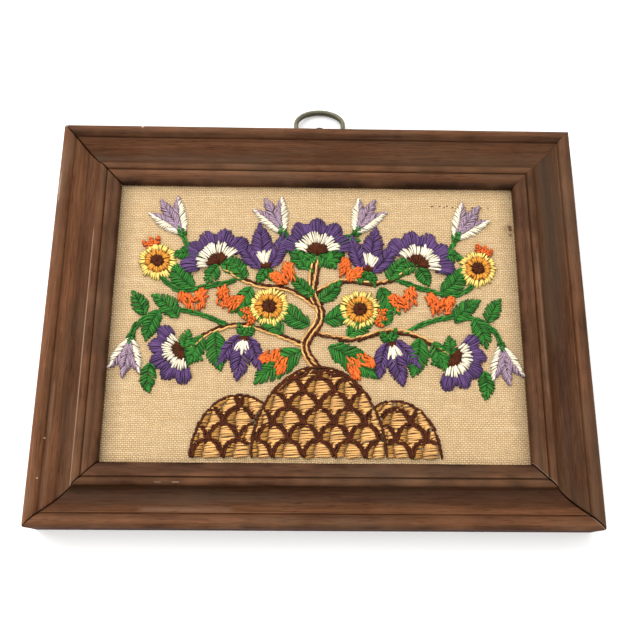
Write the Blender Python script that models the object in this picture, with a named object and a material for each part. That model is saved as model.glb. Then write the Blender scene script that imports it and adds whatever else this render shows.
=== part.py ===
"""A small crewel embroidery on linen in a mitred wooden frame, with a hanging ring.

The framed panel lies on its back. X runs along its long side, Y runs up the picture and Z comes out of its
face. The origin lies under the middle of the whole object, ring and all. Everything is in metres.
"""

import math
from collections import namedtuple

import bmesh
import bpy
import numpy as np
from mathutils import Matrix, Vector

MM = 0.001

# Driving dimensions of the frame
OPENING_WIDTH = 171.8 * MM
OPENING_HEIGHT = 121.0 * MM
MOULDING_WIDTH = 25.4 * MM
LIP_WIDTH = 3.0 * MM
LIP_UNDERSIDE = 10.3 * MM
FIT_GAP = 0.3 * MM
MITRE_GAPS = {"top_right": 0.3 * MM, "top_left": 0.5 * MM, "bottom_left": 0.5 * MM, "bottom_right": 0.6 * MM}

# Section of the moulding: u runs inward from the outer wall, z up from the back
BEAD_CREST = (2.4 * MM, 19.0 * MM)
BEAD_OUTER_DROP = 1.6 * MM
BEAD_INNER_REACH = 2.75 * MM
BEAD_INNER_DROP = 2.1 * MM
GROOVE = (5.3 * MM, 16.75 * MM)
COVE_START = (5.75 * MM, 17.2 * MM)
COVE_PULL_OUT = (8.6 * MM, 13.2 * MM)
COVE_PULL_IN = (14.0 * MM, 9.6 * MM)
COVE_END = (16.1 * MM, 14.3 * MM)
INNER_BEAD_CENTRE = (17.75 * MM, 14.2 * MM)
INNER_BEAD_HALF_WIDTH = 1.6 * MM
INNER_BEAD_RISE = 1.4 * MM
QUIRK = (19.5 * MM, 14.1 * MM)
SLOPE_TOP = (19.8 * MM, 14.9 * MM)
NOSE_CENTRE = (23.6 * MM, 12.2 * MM)
NOSE_RADIUS = 1.8 * MM
NOSE_SLANT = 63.0

# The linen, with its raw edge turned back behind it
LINEN_FRONT = 10.0 * MM
LINEN_THICKNESS = 1.5 * MM
HEM_LAYER_GAP = 0.5 * MM
HEM_WIDTH = 12.0 * MM
RELIEF_CELL = 2.1 * MM
RELIEF_MARGIN = 2.4 * MM

# The oval hanging ring, measured along its wire's middle from its foot, and the eye that holds the foot
RING_HALF_WIDTH = 10.75 * MM
RING_LEG = 7.0 * MM
RING_ARCH = 7.8 * MM
RING_SQUARENESS = 3.0
RING_HALF_RADIAL = 1.05 * MM
RING_HALF_AXIAL = 1.45 * MM
RING_DROP = 15.0
RING_SLACK = (0.4 * MM, 0.2 * MM)
EYE_OUTER_RADIUS = 3.4 * MM
EYE_HOLE_RADIUS = 2.1 * MM
EYE_HALF_THICKNESS = 1.7 * MM
EYE_HEIGHT = 5.6 * MM
EYE_ASIDE = 0.9 * MM
SHANK_RADIUS = 1.1 * MM
SHANK_DEPTH = 8.0 * MM

OUTER_WIDTH = OPENING_WIDTH + 2 * MOULDING_WIDTH
OUTER_HEIGHT = OPENING_HEIGHT + 2 * MOULDING_WIDTH
EYE_REACH = EYE_OUTER_RADIUS + FIT_GAP
RING_SPREAD = math.hypot(
    RING_HALF_RADIAL * math.cos(math.radians(RING_DROP)),
    RING_HALF_AXIAL * math.sin(math.radians(RING_DROP)),
)
RING_LENGTH = (RING_LEG + RING_ARCH) * math.cos(math.radians(RING_DROP))
RING_REACH = EYE_REACH - RING_SLACK[0] + RING_LENGTH + RING_SPREAD
FRAME_MIDDLE = Vector((0.0, -RING_REACH / 2, 0.0))

# The wool work, in millimetres from the middle of the opening; turns are in degrees from +X
Bloom = namedtuple("Bloom", "kind x y size turn")
Leaf = namedtuple("Leaf", "x y length half_width turn bend")
Bough = namedtuple("Bough", "width points")
Hill = namedtuple("Hill", "x half_width height")

GROUND = -58.0
HILLS = [
    Hill(-31, 19, 25),
    Hill(32, 18, 23),
    Hill(1, 27, 37),
]
BOUGHS = [
    Bough(4.4, [(1, -22), (-5, -12), (2, 1), (-2, 13), (0, 27)]),
    Bough(2.6, [(-4, -12), (-17, -7), (-31, -3), (-44, -6), (-54, -14)]),
    Bough(2.6, [(-1, -6), (15, -9), (30, -5), (44, -8), (55, -16)]),
    Bough(2.4, [(1, 4), (-12, 13), (-27, 15), (-40, 23)]),
    Bough(2.4, [(-2, 11), (12, 17), (27, 16), (41, 23)]),
    Bough(1.8, [(-33, 17), (-46, 14), (-58, 12), (-66, 18), (-68, 24)]),
    Bough(1.8, [(33, 18), (47, 13), (59, 11), (67, 16), (69, 22)]),
    Bough(1.8, [(-40, 24), (-54, 30), (-58, 38)]),
    Bough(1.8, [(41, 24), (56, 30), (60, 37)]),
    Bough(1.8, [(-36, -4), (-50, 2), (-64, 3), (-75, -3), (-77, -11)]),
    Bough(1.8, [(36, -6), (50, 0), (64, 1), (75, -5), (77, -13)]),
    Bough(1.8, [(-2, 20), (-9, 33), (-15, 39)]),
    Bough(1.8, [(0, 22), (9, 34), (17, 39)]),
]
BLOOMS = [
    Bloom("bell", -58, 38, 18, 124),
    Bloom("bell", 60, 37, 18, 54),
    Bloom("bell", -15, 39, 17, 116),
    Bloom("bell", 17, 39, 17, 62),
    Bloom("bell", -77, -9, 16, 262),
    Bloom("bell", 77, -11, 16, 278),
    Bloom("carnation", 0, 29, 17.5, 90),
    Bloom("carnation", -42, 24, 17, 114),
    Bloom("carnation", 43, 24, 17, 66),
    Bloom("carnation", -55, -14, 15, 205),
    Bloom("carnation", 56, -16, 15, -32),
    Bloom("tulip", -22, 22, 20, 98),
    Bloom("tulip", 22, 21, 20, 80),
    Bloom("tulip", -30, -8, 18, 262),
    Bloom("tulip", 31, -10, 18, 284),
    Bloom("pomegranate", -20, 5, 8.5, 205),
    Bloom("pomegranate", 18, 4, 8.5, -20),
    Bloom("pomegranate", -68, 25, 8, 110),
    Bloom("pomegranate", 69, 23, 8, 70),
    Bloom("heart", -51, 2, 11, 100),
    Bloom("heart", 51, 1, 11, 80),
    Bloom("heart", -40, 3, 11, 60),
    Bloom("heart", 39, 3, 11, 112),
    Bloom("heart", -11, 15, 10, 128),
    Bloom("heart", 11, 17, 10, 58),
    Bloom("heart", -14, -13, 11, 238),
    Bloom("heart", 14, -15, 11, -52),
]
LEAVES = [
    Leaf(-6, -14, 24, 5.5, 206, 20),
    Leaf(5, -12, 24, 5.5, -24, -20),
    Leaf(-42, -6, 17, 4.5, 268, 24),
    Leaf(43, -8, 17, 4.5, 270, -24),
    Leaf(-3, -3, 18, 4.5, 160, -40),
    Leaf(3, -1, 18, 4.5, 12, 40),
    Leaf(-52, 13, 16, 4.5, 150, -40),
    Leaf(53, 12, 16, 4.5, 30, 40),
    Leaf(-28, 14, 14, 4, 250, -30),
    Leaf(27, 14, 14, 4, 290, 30),
    Leaf(-58, 0, 15, 4, 120, 40),
    Leaf(58, -1, 15, 4, 60, -40),
    Leaf(-4, 22, 14, 3.5, 130, -20),
    Leaf(4, 24, 14, 3.5, 48, 20),
    Leaf(-31, 17, 13, 4, 110, 30),
    Leaf(31, 17, 13, 4, 70, -30),
    Leaf(-68, -20, 12, 3.5, 250, 40),
    Leaf(69, -22, 12, 3.5, 290, -40),
    Leaf(-14, -7, 15, 4, 130, 30),
    Leaf(13, -8, 15, 4, 50, -30),
    Leaf(-47, -8, 14, 4, 235, 20),
    Leaf(48, -10, 14, 4, 305, -20),
    Leaf(-30, -1, 13, 4, 80, 30),
    Leaf(29, -3, 13, 4, 100, -30),
    Leaf(-66, 3, 14, 4, 235, 30),
    Leaf(66, 1, 14, 4, 305, -30),
    Leaf(-72, 1, 12, 3.5, 110, 20),
    Leaf(72, -1, 12, 3.5, 70, -20),
    Leaf(-50, 29, 12, 3.5, 172, 30),
    Leaf(51, 29, 12, 3.5, 8, -30),
    Leaf(-7, 31, 11, 3.5, 150, 20),
    Leaf(8, 32, 11, 3.5, 30, -20),
    Leaf(1, 8, 13, 3.5, 30, 30),
    Leaf(-1, 10, 13, 3.5, 150, -30),
]
BLOOM_LIFT = 2.0
LEAF_LIFT = 1.3
BOUGH_LIFT = 1.3
HILL_LIFT = 1.8
SCALE_WIDTH = 12.4
SCALE_DIP = 0.9


def start_clean():
    for old in list(bpy.data.objects):
        bpy.data.objects.remove(old)


def material(name, colour, roughness, metallic=0.0):
    result = bpy.data.materials.new(name)
    result.use_nodes = True
    shader = result.node_tree.nodes["Principled BSDF"]
    shader.inputs["Base Color"].default_value = (*colour, 1.0)
    shader.inputs["Roughness"].default_value = roughness
    shader.inputs["Metallic"].default_value = metallic
    return result


def object_from(bm, name, finish, smooth_angle=None):
    bmesh.ops.recalc_face_normals(bm, faces=bm.faces)
    mesh = bpy.data.meshes.new(name)
    bm.to_mesh(mesh)
    bm.free()
    mesh.materials.append(finish)
    if smooth_angle is not None:
        mesh.shade_smooth()
        mesh.set_sharp_from_angle(angle=math.radians(smooth_angle))
    result = bpy.data.objects.new(name, mesh)
    bpy.context.collection.objects.link(result)
    return result


def cut_or_join(target, tool, operation):
    step = target.modifiers.new(operation.lower(), "BOOLEAN")
    step.operation = operation
    step.solver = "EXACT"
    step.object = tool
    tool.hide_render = True
    tool.display_type = "WIRE"


def oval_arc(centre, half_width, rise, start, end, steps):
    points = []
    for step in range(steps + 1):
        angle = math.radians(start + (end - start) * step / steps)
        points.append((centre[0] + half_width * math.cos(angle), centre[1] + rise * math.sin(angle)))
    return points


def bezier(first, pull_first, pull_last, last, steps):
    points = []
    for step in range(steps + 1):
        t = step / steps
        weights = ((1 - t) ** 3, 3 * t * (1 - t) ** 2, 3 * t * t * (1 - t), t ** 3)
        corners = (first, pull_first, pull_last, last)
        points.append(tuple(sum(w * c[axis] for w, c in zip(weights, corners)) for axis in (0, 1)))
    return points


def moulding_section():
    """The closed outline (u, z) of the moulding, from its outer wall over its face to the rebate."""
    rebate = MOULDING_WIDTH - LIP_WIDTH
    crest, top = BEAD_CREST
    outline = [(0.0, 0.0)]
    outline += oval_arc((crest, top - BEAD_OUTER_DROP), crest, BEAD_OUTER_DROP, 180, 90, 5)
    outline += oval_arc((crest, top - BEAD_INNER_DROP), BEAD_INNER_REACH, BEAD_INNER_DROP, 90, 15, 5)[1:]
    outline += [GROOVE]
    outline += bezier(COVE_START, COVE_PULL_OUT, COVE_PULL_IN, COVE_END, 10)
    outline += oval_arc(INNER_BEAD_CENTRE, INNER_BEAD_HALF_WIDTH, INNER_BEAD_RISE, 170, 10, 6)
    outline += [QUIRK, SLOPE_TOP]
    outline += oval_arc(NOSE_CENTRE, NOSE_RADIUS, NOSE_RADIUS, NOSE_SLANT, 0, 4)
    outline += [(MOULDING_WIDTH, LIP_UNDERSIDE), (rebate, LIP_UNDERSIDE), (rebate, 0.0)]
    return outline


def rail(name, length, turn, offset, gap_left, gap_right, finish):
    """One side of the frame, mitred at both ends; built as the lower side and turned into place."""
    bm = bmesh.new()
    ends = []
    for side, gap in ((-1, gap_left), (1, gap_right)):
        shift = gap / math.sqrt(2)
        ends.append([
            bm.verts.new((side * (length / 2 - u - shift), u - offset, z)) for u, z in moulding_section()
        ])
    count = len(ends[0])
    for step in range(count):
        follow = (step + 1) % count
        bm.faces.new((ends[0][step], ends[0][follow], ends[1][follow], ends[1][step]))
    bm.faces.new(ends[0])
    bm.faces.new(ends[1])
    bm.transform(Matrix.Rotation(math.radians(turn), 4, "Z"))
    result = object_from(bm, name, finish, 35)
    result.location = FRAME_MIDDLE
    return result


def dome(distance):
    """A rounded pad: 1 in its middle, falling to 0 at a distance of 1."""
    return (1 - distance * distance) ** 0.6 if distance < 1 else 0.0


def local(x, y, motif):
    angle = math.radians(motif.turn)
    dx = x - motif.x
    dy = y - motif.y
    return dx * math.cos(angle) + dy * math.sin(angle), dy * math.cos(angle) - dx * math.sin(angle)


def blade_height(x, y, leaf):
    """A pointed leaf or petal, bent along an arc from its root."""
    along, across = local(x, y, leaf)
    reach = math.hypot(along, across) / leaf.length
    if reach <= 0.02 or reach >= 1:
        return 0.0
    swing = math.degrees(math.atan2(across, along)) - leaf.bend * reach / 2
    aside = reach * leaf.length * math.sin(math.radians(swing))
    half = leaf.half_width * math.sin(math.pi * reach) ** 0.7
    if abs(swing) > 80:
        return 0.0
    return dome(abs(aside) / half)


def petals(bloom):
    """The blades that make up a tulip, a heart or the crown of a pomegranate."""
    size = bloom.size
    if bloom.kind == "tulip":
        spread = ((0, size, 0.25, 0), (34, size * 0.86, 0.2, -14), (-34, size * 0.86, 0.2, 14))
    else:
        spread = ((20, size, 0.32, 16), (-20, size, 0.32, -16))
    for turn, length, slimness, bend in spread:
        yield Leaf(bloom.x, bloom.y, length, length * slimness, bloom.turn + turn, bend)


def bloom_height(x, y, bloom):
    along, across = local(x, y, bloom)
    distance = math.hypot(along, across) / bloom.size
    if distance > 1.1:
        return 0.0
    if bloom.kind == "carnation":
        angle = math.degrees(math.atan2(across, along))
        return dome(max(distance * 1.02, abs(angle) / 88)) if abs(angle) < 88 else 0.0
    if bloom.kind == "pomegranate":
        return dome(distance)
    if bloom.kind == "bell":
        reach = along / bloom.size
        if not 0 < reach < 1.1:
            return 0.0
        return dome(abs(across) / (bloom.size * (0.18 + 0.3 * reach ** 1.3))) * dome(reach / 1.1)
    return max(blade_height(x, y, petal) for petal in petals(bloom))


def smooth_line(points, steps=6):
    """A Catmull-Rom curve through the points."""
    padded = [points[0], *points, points[-1]]
    line = []
    for a, b, c, d in zip(padded, padded[1:], padded[2:], padded[3:]):
        for step in range(steps):
            t = step / steps
            line.append(tuple(
                0.5 * (2 * b[axis] + (c[axis] - a[axis]) * t
                       + (2 * a[axis] - 5 * b[axis] + 4 * c[axis] - d[axis]) * t * t
                       + (3 * b[axis] - a[axis] - 3 * c[axis] + d[axis]) * t ** 3)
                for axis in (0, 1)
            ))
    line.append(points[-1])
    return line


def bough_height(x, y, line, half_width):
    nearest = half_width
    for (ax, ay), (bx, by) in zip(line, line[1:]):
        dx = bx - ax
        dy = by - ay
        t = max(0.0, min(1.0, ((x - ax) * dx + (y - ay) * dy) / (dx * dx + dy * dy)))
        nearest = min(nearest, math.hypot(x - ax - t * dx, y - ay - t * dy))
    return dome(nearest / half_width)


def hill_height(x, y, hill):
    """A low mound with rows of overlapping scales pressed into it."""
    if y < GROUND:
        return 0.0
    distance = math.hypot((x - hill.x) / hill.half_width, (y - GROUND) / hill.height)
    row = (y - GROUND) / (SCALE_WIDTH * 0.52)
    column = (x - hill.x) / SCALE_WIDTH + 0.5 * (int(row) % 2)
    seam = abs(2 * (column - math.floor(column + 0.5)))
    return dome(distance) * (1 - SCALE_DIP / HILL_LIFT * seam * (1 - (row - int(row))))


def wool_height(x, y, lines):
    """How far the wool stands off the linen at a place, in millimetres."""
    height = 0.0
    for hill in HILLS:
        height = max(height, HILL_LIFT * hill_height(x, y, hill))
    for bough, line in zip(BOUGHS, lines):
        height = max(height, BOUGH_LIFT * bough_height(x, y, line, bough.width / 2 + 0.6))
    for leaf in LEAVES:
        height = max(height, LEAF_LIFT * blade_height(x, y, leaf))
    for bloom in BLOOMS:
        height = max(height, BLOOM_LIFT * bloom_height(x, y, bloom))
    return height


def relief_grid(columns, rows, width, height):
    """Heights of the wool at the grid's points, read at half its pitch and averaged for smooth edges."""
    lines = [smooth_line(bough.points) for bough in BOUGHS]
    fine = np.zeros((2 * rows + 1, 2 * columns + 1))
    for row in range(1, 2 * rows):
        for column in range(1, 2 * columns):
            x = width * (column / (2 * columns) - 0.5)
            y = height * (row / (2 * rows) - 0.5)
            fine[row, column] = wool_height(x / MM, y / MM, lines) * MM
    soft = fine.copy()
    soft[1:-1] = (fine[:-2] + 2 * fine[1:-1] + fine[2:]) / 4
    soft[:, 1:-1] = (soft[:, :-2] + 2 * soft[:, 1:-1] + soft[:, 2:]) / 4
    heights = soft[::2, ::2]
    heights[[0, -1]] = 0
    heights[:, [0, -1]] = 0
    return heights


def worked_linen(finish):
    bm = bmesh.new()
    field_width = OPENING_WIDTH - RELIEF_MARGIN
    field_height = OPENING_HEIGHT - RELIEF_MARGIN
    columns = round(field_width / RELIEF_CELL)
    rows = round(field_height / RELIEF_CELL)
    heights = relief_grid(columns, rows, field_width, field_height)
    grid = []
    for row in range(rows + 1):
        y = field_height * (row / rows - 0.5)
        line = []
        for column in range(columns + 1):
            x = field_width * (column / columns - 0.5)
            line.append(bm.verts.new((x, y, LINEN_FRONT + heights[row, column])))
        grid.append(line)
    for lower, upper in zip(grid, grid[1:]):
        for a, b, c, d in zip(lower, lower[1:], upper[1:], upper):
            bm.faces.new((a, b, c, d))

    half_width = OPENING_WIDTH / 2 + LIP_WIDTH - FIT_GAP
    half_height = OPENING_HEIGHT / 2 + LIP_WIDTH - FIT_GAP

    def loop(inset, z):
        x = half_width - inset
        y = half_height - inset
        return [bm.verts.new((sx * x, sy * y, z)) for sx, sy in ((-1, -1), (1, -1), (1, 1), (-1, 1))]

    sheet_back = LINEN_FRONT - LINEN_THICKNESS
    hem_front = sheet_back - HEM_LAYER_GAP
    hem_back = hem_front - LINEN_THICKNESS
    fold = (LINEN_FRONT - hem_back) / 2
    fold_middle = (LINEN_FRONT + hem_back) / 2
    loops = []
    for angle in (90, 60, 30, 0, -30, -60, -90):
        swing = math.radians(angle)
        loops.append(loop(fold * (1 - math.cos(swing)), fold_middle + fold * math.sin(swing)))
    loops.append(loop(HEM_WIDTH, hem_back))
    loops.append(loop(HEM_WIDTH, hem_front))
    loops.append(loop(LINEN_THICKNESS + HEM_LAYER_GAP / 2, hem_front))
    loops.append(loop(LINEN_THICKNESS, (hem_front + sheet_back) / 2))
    loops.append(loop(LINEN_THICKNESS + HEM_LAYER_GAP / 2, sheet_back))
    for one, other in zip(loops, loops[1:]):
        for side in range(4):
            follow = (side + 1) % 4
            bm.faces.new((one[side], one[follow], other[follow], other[side]))
    bm.faces.new(loops[-1])

    # The flat border between the worked field and the fold, one face for each side
    rims = (
        grid[0],
        [line[-1] for line in grid],
        grid[-1][::-1],
        [line[0] for line in grid][::-1],
    )
    for side, rim in enumerate(rims):
        bm.faces.new((loops[0][side], loops[0][(side + 1) % 4], *rim[::-1]))
    result = object_from(bm, "embroidered_linen", finish, 50)
    result.location = FRAME_MIDDLE
    return result


def round_loop(half_width, arch, leg, squareness, steps):
    """A closed line about the origin: half an oval above, and a squarer half below."""
    line = []
    for step in range(steps):
        swing = math.tau * step / steps
        across = math.cos(swing)
        along = math.sin(swing)
        if along < 0:
            across = math.copysign(abs(across) ** (2 / squareness), across)
            along = -abs(along) ** (2 / squareness)
        line.append(Vector((half_width * across, (arch if along > 0 else leg) * along, 0.0)))
    return line


def bent_wire(bm, line, half_radial, half_axial, section):
    """A wire of oval section along a closed line in the XY plane."""
    rings = []
    for step, place in enumerate(line):
        run = (line[(step + 1) % len(line)] - line[step - 1]).normalized()
        outward = Vector((run.y, -run.x, 0.0))
        circle = []
        for point in range(section):
            angle = math.tau * point / section
            offset = outward * half_radial * math.cos(angle) + Vector((0.0, 0.0, half_axial * math.sin(angle)))
            circle.append(bm.verts.new(place + offset))
        rings.append(circle)
    for step in range(len(line)):
        one = rings[step]
        other = rings[(step + 1) % len(line)]
        for point in range(section):
            follow = (point + 1) % section
            bm.faces.new((one[point], other[point], other[follow], one[follow]))


def eye_place():
    return FRAME_MIDDLE + Vector((EYE_ASIDE, OUTER_HEIGHT / 2 + EYE_REACH, EYE_HEIGHT))


def hanging_ring(finish):
    bm = bmesh.new()
    oval = round_loop(RING_HALF_WIDTH, RING_ARCH, RING_LEG, RING_SQUARENESS, 48)
    bent_wire(bm, oval, RING_HALF_RADIAL, RING_HALF_AXIAL, 10)
    bm.transform(Matrix.Translation((0.0, RING_LEG, 0.0)))
    result = object_from(bm, "hanging_ring", finish, 60)
    result.location = eye_place() - Vector((0.0, *RING_SLACK))
    result.rotation_euler = (-math.radians(RING_DROP), 0.0, 0.0)
    return result


def screw_eye(finish):
    wall = (EYE_OUTER_RADIUS - EYE_HOLE_RADIUS) / 2
    radius = EYE_HOLE_RADIUS + wall
    bm = bmesh.new()
    bent_wire(bm, round_loop(radius, radius, radius, 2.0, 24), wall, EYE_HALF_THICKNESS, 10)
    bm.transform(Matrix.Rotation(math.radians(90), 4, "Y"))
    eye = object_from(bm, "screw_eye", finish, 60)
    eye.location = eye_place()

    length = SHANK_DEPTH + FIT_GAP + wall
    shank = rod("shank", SHANK_RADIUS, length, finish)
    shank.location = eye.location - Vector((0.0, EYE_OUTER_RADIUS - wall + length / 2, 0.0))
    cut_or_join(eye, shank, "UNION")
    return eye


def rod(name, radius, length, finish):
    """A round bar along Y about its own middle."""
    bm = bmesh.new()
    bmesh.ops.create_cone(bm, cap_ends=True, segments=16, radius1=radius, radius2=radius, depth=length)
    bm.transform(Matrix.Rotation(math.radians(90), 4, "X"))
    return object_from(bm, name, finish, 60)


def pilot_hole(finish):
    depth = SHANK_DEPTH + FIT_GAP
    over = 2 * MM
    cutter = rod("pilot_hole", SHANK_RADIUS + FIT_GAP, depth + over, finish)
    cutter.location = FRAME_MIDDLE + Vector((EYE_ASIDE, OUTER_HEIGHT / 2 + (over - depth) / 2, EYE_HEIGHT))
    return cutter


def build():
    start_clean()
    wood = material("walnut_stained_wood", (0.085, 0.042, 0.026), 0.42)
    linen = material("linen_with_wool", (0.62, 0.46, 0.26), 0.95)
    brass = material("aged_brass", (0.24, 0.21, 0.12), 0.5, 1.0)

    side_by_side = OUTER_WIDTH
    up_and_down = OUTER_HEIGHT
    gaps = MITRE_GAPS
    rail("rail_bottom", side_by_side, 0, up_and_down / 2, gaps["bottom_left"], gaps["bottom_right"], wood)
    rail("rail_right", up_and_down, 90, side_by_side / 2, gaps["bottom_right"], gaps["top_right"], wood)
    top = rail("rail_top", side_by_side, 180, up_and_down / 2, gaps["top_right"], gaps["top_left"], wood)
    rail("rail_left", up_and_down, 270, side_by_side / 2, gaps["top_left"], gaps["bottom_left"], wood)
    cut_or_join(top, pilot_hole(wood), "DIFFERENCE")

    worked_linen(linen)
    screw_eye(brass)
    hanging_ring(brass)


build()
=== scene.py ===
import math
import random
from collections import namedtuple

import bmesh
import bpy
from mathutils import Matrix, Vector, noise


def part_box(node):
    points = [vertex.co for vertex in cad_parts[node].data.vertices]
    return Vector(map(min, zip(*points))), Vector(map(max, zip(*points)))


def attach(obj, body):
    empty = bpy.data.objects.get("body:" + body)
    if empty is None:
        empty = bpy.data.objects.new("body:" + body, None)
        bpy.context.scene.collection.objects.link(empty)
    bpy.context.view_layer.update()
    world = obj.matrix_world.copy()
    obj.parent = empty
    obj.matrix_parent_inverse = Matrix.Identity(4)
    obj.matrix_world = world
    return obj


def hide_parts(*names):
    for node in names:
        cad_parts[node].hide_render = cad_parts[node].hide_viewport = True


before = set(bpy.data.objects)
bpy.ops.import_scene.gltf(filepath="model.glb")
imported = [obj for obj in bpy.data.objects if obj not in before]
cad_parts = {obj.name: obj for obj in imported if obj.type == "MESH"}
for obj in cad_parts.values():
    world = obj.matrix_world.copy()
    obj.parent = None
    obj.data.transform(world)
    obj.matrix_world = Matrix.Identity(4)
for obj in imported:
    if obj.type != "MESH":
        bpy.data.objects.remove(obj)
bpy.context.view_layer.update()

mm = 0.001
clothLow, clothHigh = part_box("embroidered_linen")
leftRailLow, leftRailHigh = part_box("rail_left")
bottomRailLow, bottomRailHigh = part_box("rail_bottom")
middle = Vector((0.0, (clothLow[1] + clothHigh[1]) / 2, 0.0))     # the frame's own middle, on the floor
print("frame loaded")


# Small helpers for nodes, meshes and pieces

def feed(tree, node, inputs):
    # links what comes from a node, and sets what is a colour, a vector or a number
    for name, value in inputs.items():
        socket = node.inputs[name]
        if isinstance(value, bpy.types.NodeSocket):
            tree.links.new(value, socket)
        elif socket.type == "RGBA":
            socket.default_value = (*value, 1.0)
        else:
            socket.default_value = value
    return node


def addNode(tree, kind, inputs=None, **settings):
    node = tree.nodes.new(kind)
    for name, value in settings.items():
        setattr(node, name, value)
    return feed(tree, node, inputs or {})


def maths(tree, operation, *values):
    node = addNode(tree, "ShaderNodeMath", dict(enumerate(values)), operation=operation)
    return node.outputs[0]


def times(tree, *values):
    product = values[0]
    for value in values[1:]:
        product = maths(tree, "MULTIPLY", product, value)
    return product


def plus(tree, *values):
    total = values[0]
    for value in values[1:]:
        total = maths(tree, "ADD", total, value)
    return total


def minus(tree, one, other):
    return maths(tree, "SUBTRACT", one, other)


def partsOf(tree, vector):
    return addNode(tree, "ShaderNodeSeparateXYZ", {"Vector": vector}).outputs


def vectorOf(tree, **parts):
    return addNode(tree, "ShaderNodeCombineXYZ", parts).outputs["Vector"]


def blend(tree, factor, one, other, mode="MIX"):
    # a Mix node's sockets 6 and 7, and its output 2, are the ones for colours
    inputs = {0: factor, 6: one, 7: other}
    return addNode(tree, "ShaderNodeMix", inputs, data_type="RGBA", blend_type=mode).outputs[2]


def layered(tree, colour, look, layers):
    # each tint of a look laid over the colour, where its mask says
    for tint, mask in layers:
        colour = blend(tree, mask, colour, look[tint])
    return colour


def attribute(tree, name, output="Fac"):
    return addNode(tree, "ShaderNodeAttribute", attribute_name=name).outputs[output]


def objectPlace(tree):
    return addNode(tree, "ShaderNodeTexCoord").outputs["Object"]


def noiseAt(tree, place, scale, detail=2.0, roughness=0.5):
    inputs = {"Vector": place, "Scale": scale, "Detail": detail, "Roughness": roughness}
    return addNode(tree, "ShaderNodeTexNoise", inputs).outputs["Fac"]


def shaded(tree, colour, value):
    # a colour made lighter or darker by a value
    grey = addNode(tree, "ShaderNodeCombineColor", dict.fromkeys(("Red", "Green", "Blue"), value))
    return blend(tree, 1.0, colour, grey.outputs["Color"], "MULTIPLY")


def ramp(tree, value, low, high, least=0.0, most=1.0):
    inputs = {"Value": value, "From Min": low, "From Max": high, "To Min": least, "To Max": most}
    return addNode(tree, "ShaderNodeMapRange", inputs).outputs["Result"]


def spotAt(tree, place, centre, reach):
    # 1 at a point, falling to 0 at a distance
    apart = addNode(tree, "ShaderNodeVectorMath", {0: place, 1: centre}, operation="DISTANCE")
    return ramp(tree, apart.outputs["Value"], reach, reach * 0.4)


def band(tree, value, centre, half, soft):
    # 1 within half of the centre, falling to 0 over a soft edge
    return ramp(tree, maths(tree, "ABSOLUTE", minus(tree, value, centre)), half + soft, half)


def newGroup(name, inputs, outputs):
    group = bpy.data.node_groups.new(name, "ShaderNodeTree")
    for label, kind, value in inputs:
        socket = group.interface.new_socket(label, in_out="INPUT", socket_type=kind)
        socket.default_value = value
    for label, kind in outputs:
        group.interface.new_socket(label, in_out="OUTPUT", socket_type=kind)
    return group, group.nodes.new("NodeGroupInput").outputs, group.nodes.new("NodeGroupOutput").inputs


def useGroup(tree, group, inputs):
    return feed(tree, addNode(tree, "ShaderNodeGroup", node_tree=group), inputs).outputs


def bumped(tree, height, strength, distance):
    inputs = {"Height": height, "Strength": strength, "Distance": distance}
    return addNode(tree, "ShaderNodeBump", inputs).outputs["Normal"]


def newMaterial(name):
    material = bpy.data.materials.new(name)
    material.use_nodes = True
    return material, material.node_tree, material.node_tree.nodes["Principled BSDF"]


def newObject(name, data):
    made = bpy.data.objects.new(name, data)
    bpy.context.collection.objects.link(made)
    return made


def newMesh(name, points, faces, edges=()):
    mesh = bpy.data.meshes.new(name)
    mesh.from_pydata(points, edges, faces)
    return mesh


def keepOn(mesh, label, values):
    # one number, or one vector, for each point, which the materials and the wool's tree read
    if isinstance(values[0], tuple):
        flat = [value for vector in values for value in vector]
        mesh.attributes.new(label, "FLOAT_VECTOR", "POINT").data.foreach_set("vector", flat)
    else:
        mesh.attributes.new(label, "FLOAT", "POINT").data.foreach_set("value", values)


def newPiece(name, mesh, material):
    mesh.materials.append(material)
    return newObject(name, mesh)


def finishPiece(piece):
    # the evaluated shape becomes a plain mesh, and its modifiers go
    mesh = bpy.data.meshes.new_from_object(piece.evaluated_get(bpy.context.evaluated_depsgraph_get()))
    piece.modifiers.clear()
    piece.data = mesh
    return mesh


def dress(piece, node):
    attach(piece, "root")
    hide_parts(node)


colourKind = "NodeSocketColor"
floatKind = "NodeSocketFloat"
vectorKind = "NodeSocketVector"


# Camera, lights and floor

cameraSetup = {
    "azimuth": -3.43,         # degrees round the upright
    "elevation": 72.60,       # degrees above the floor
    "roll": 3.84,
    "distance": 355.0 * mm,
    "aimAcross": 1.58 * mm,   # where it looks, from the frame's middle
    "aimUp": 2.71 * mm,
    "lens": 46.16,
}
stageSetup = {
    "floorSize": 3.0,
    "floorColour": (0.97, 0.97, 0.965),
    "floorGlow": 0.18,        # keeps its shadow pale
    "floorGap": 0.05 * mm,    # below what rests on it
    "skyStrength": 0.92,
    "keyPlace": (-0.40, 0.50, 0.80),
    "keySize": 1.1,
    "keyPower": 9.0,
    "fillPlace": (0.30, -0.80, 0.60),
    "fillSize": 1.0,
    "fillPower": 1.3,
}


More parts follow.
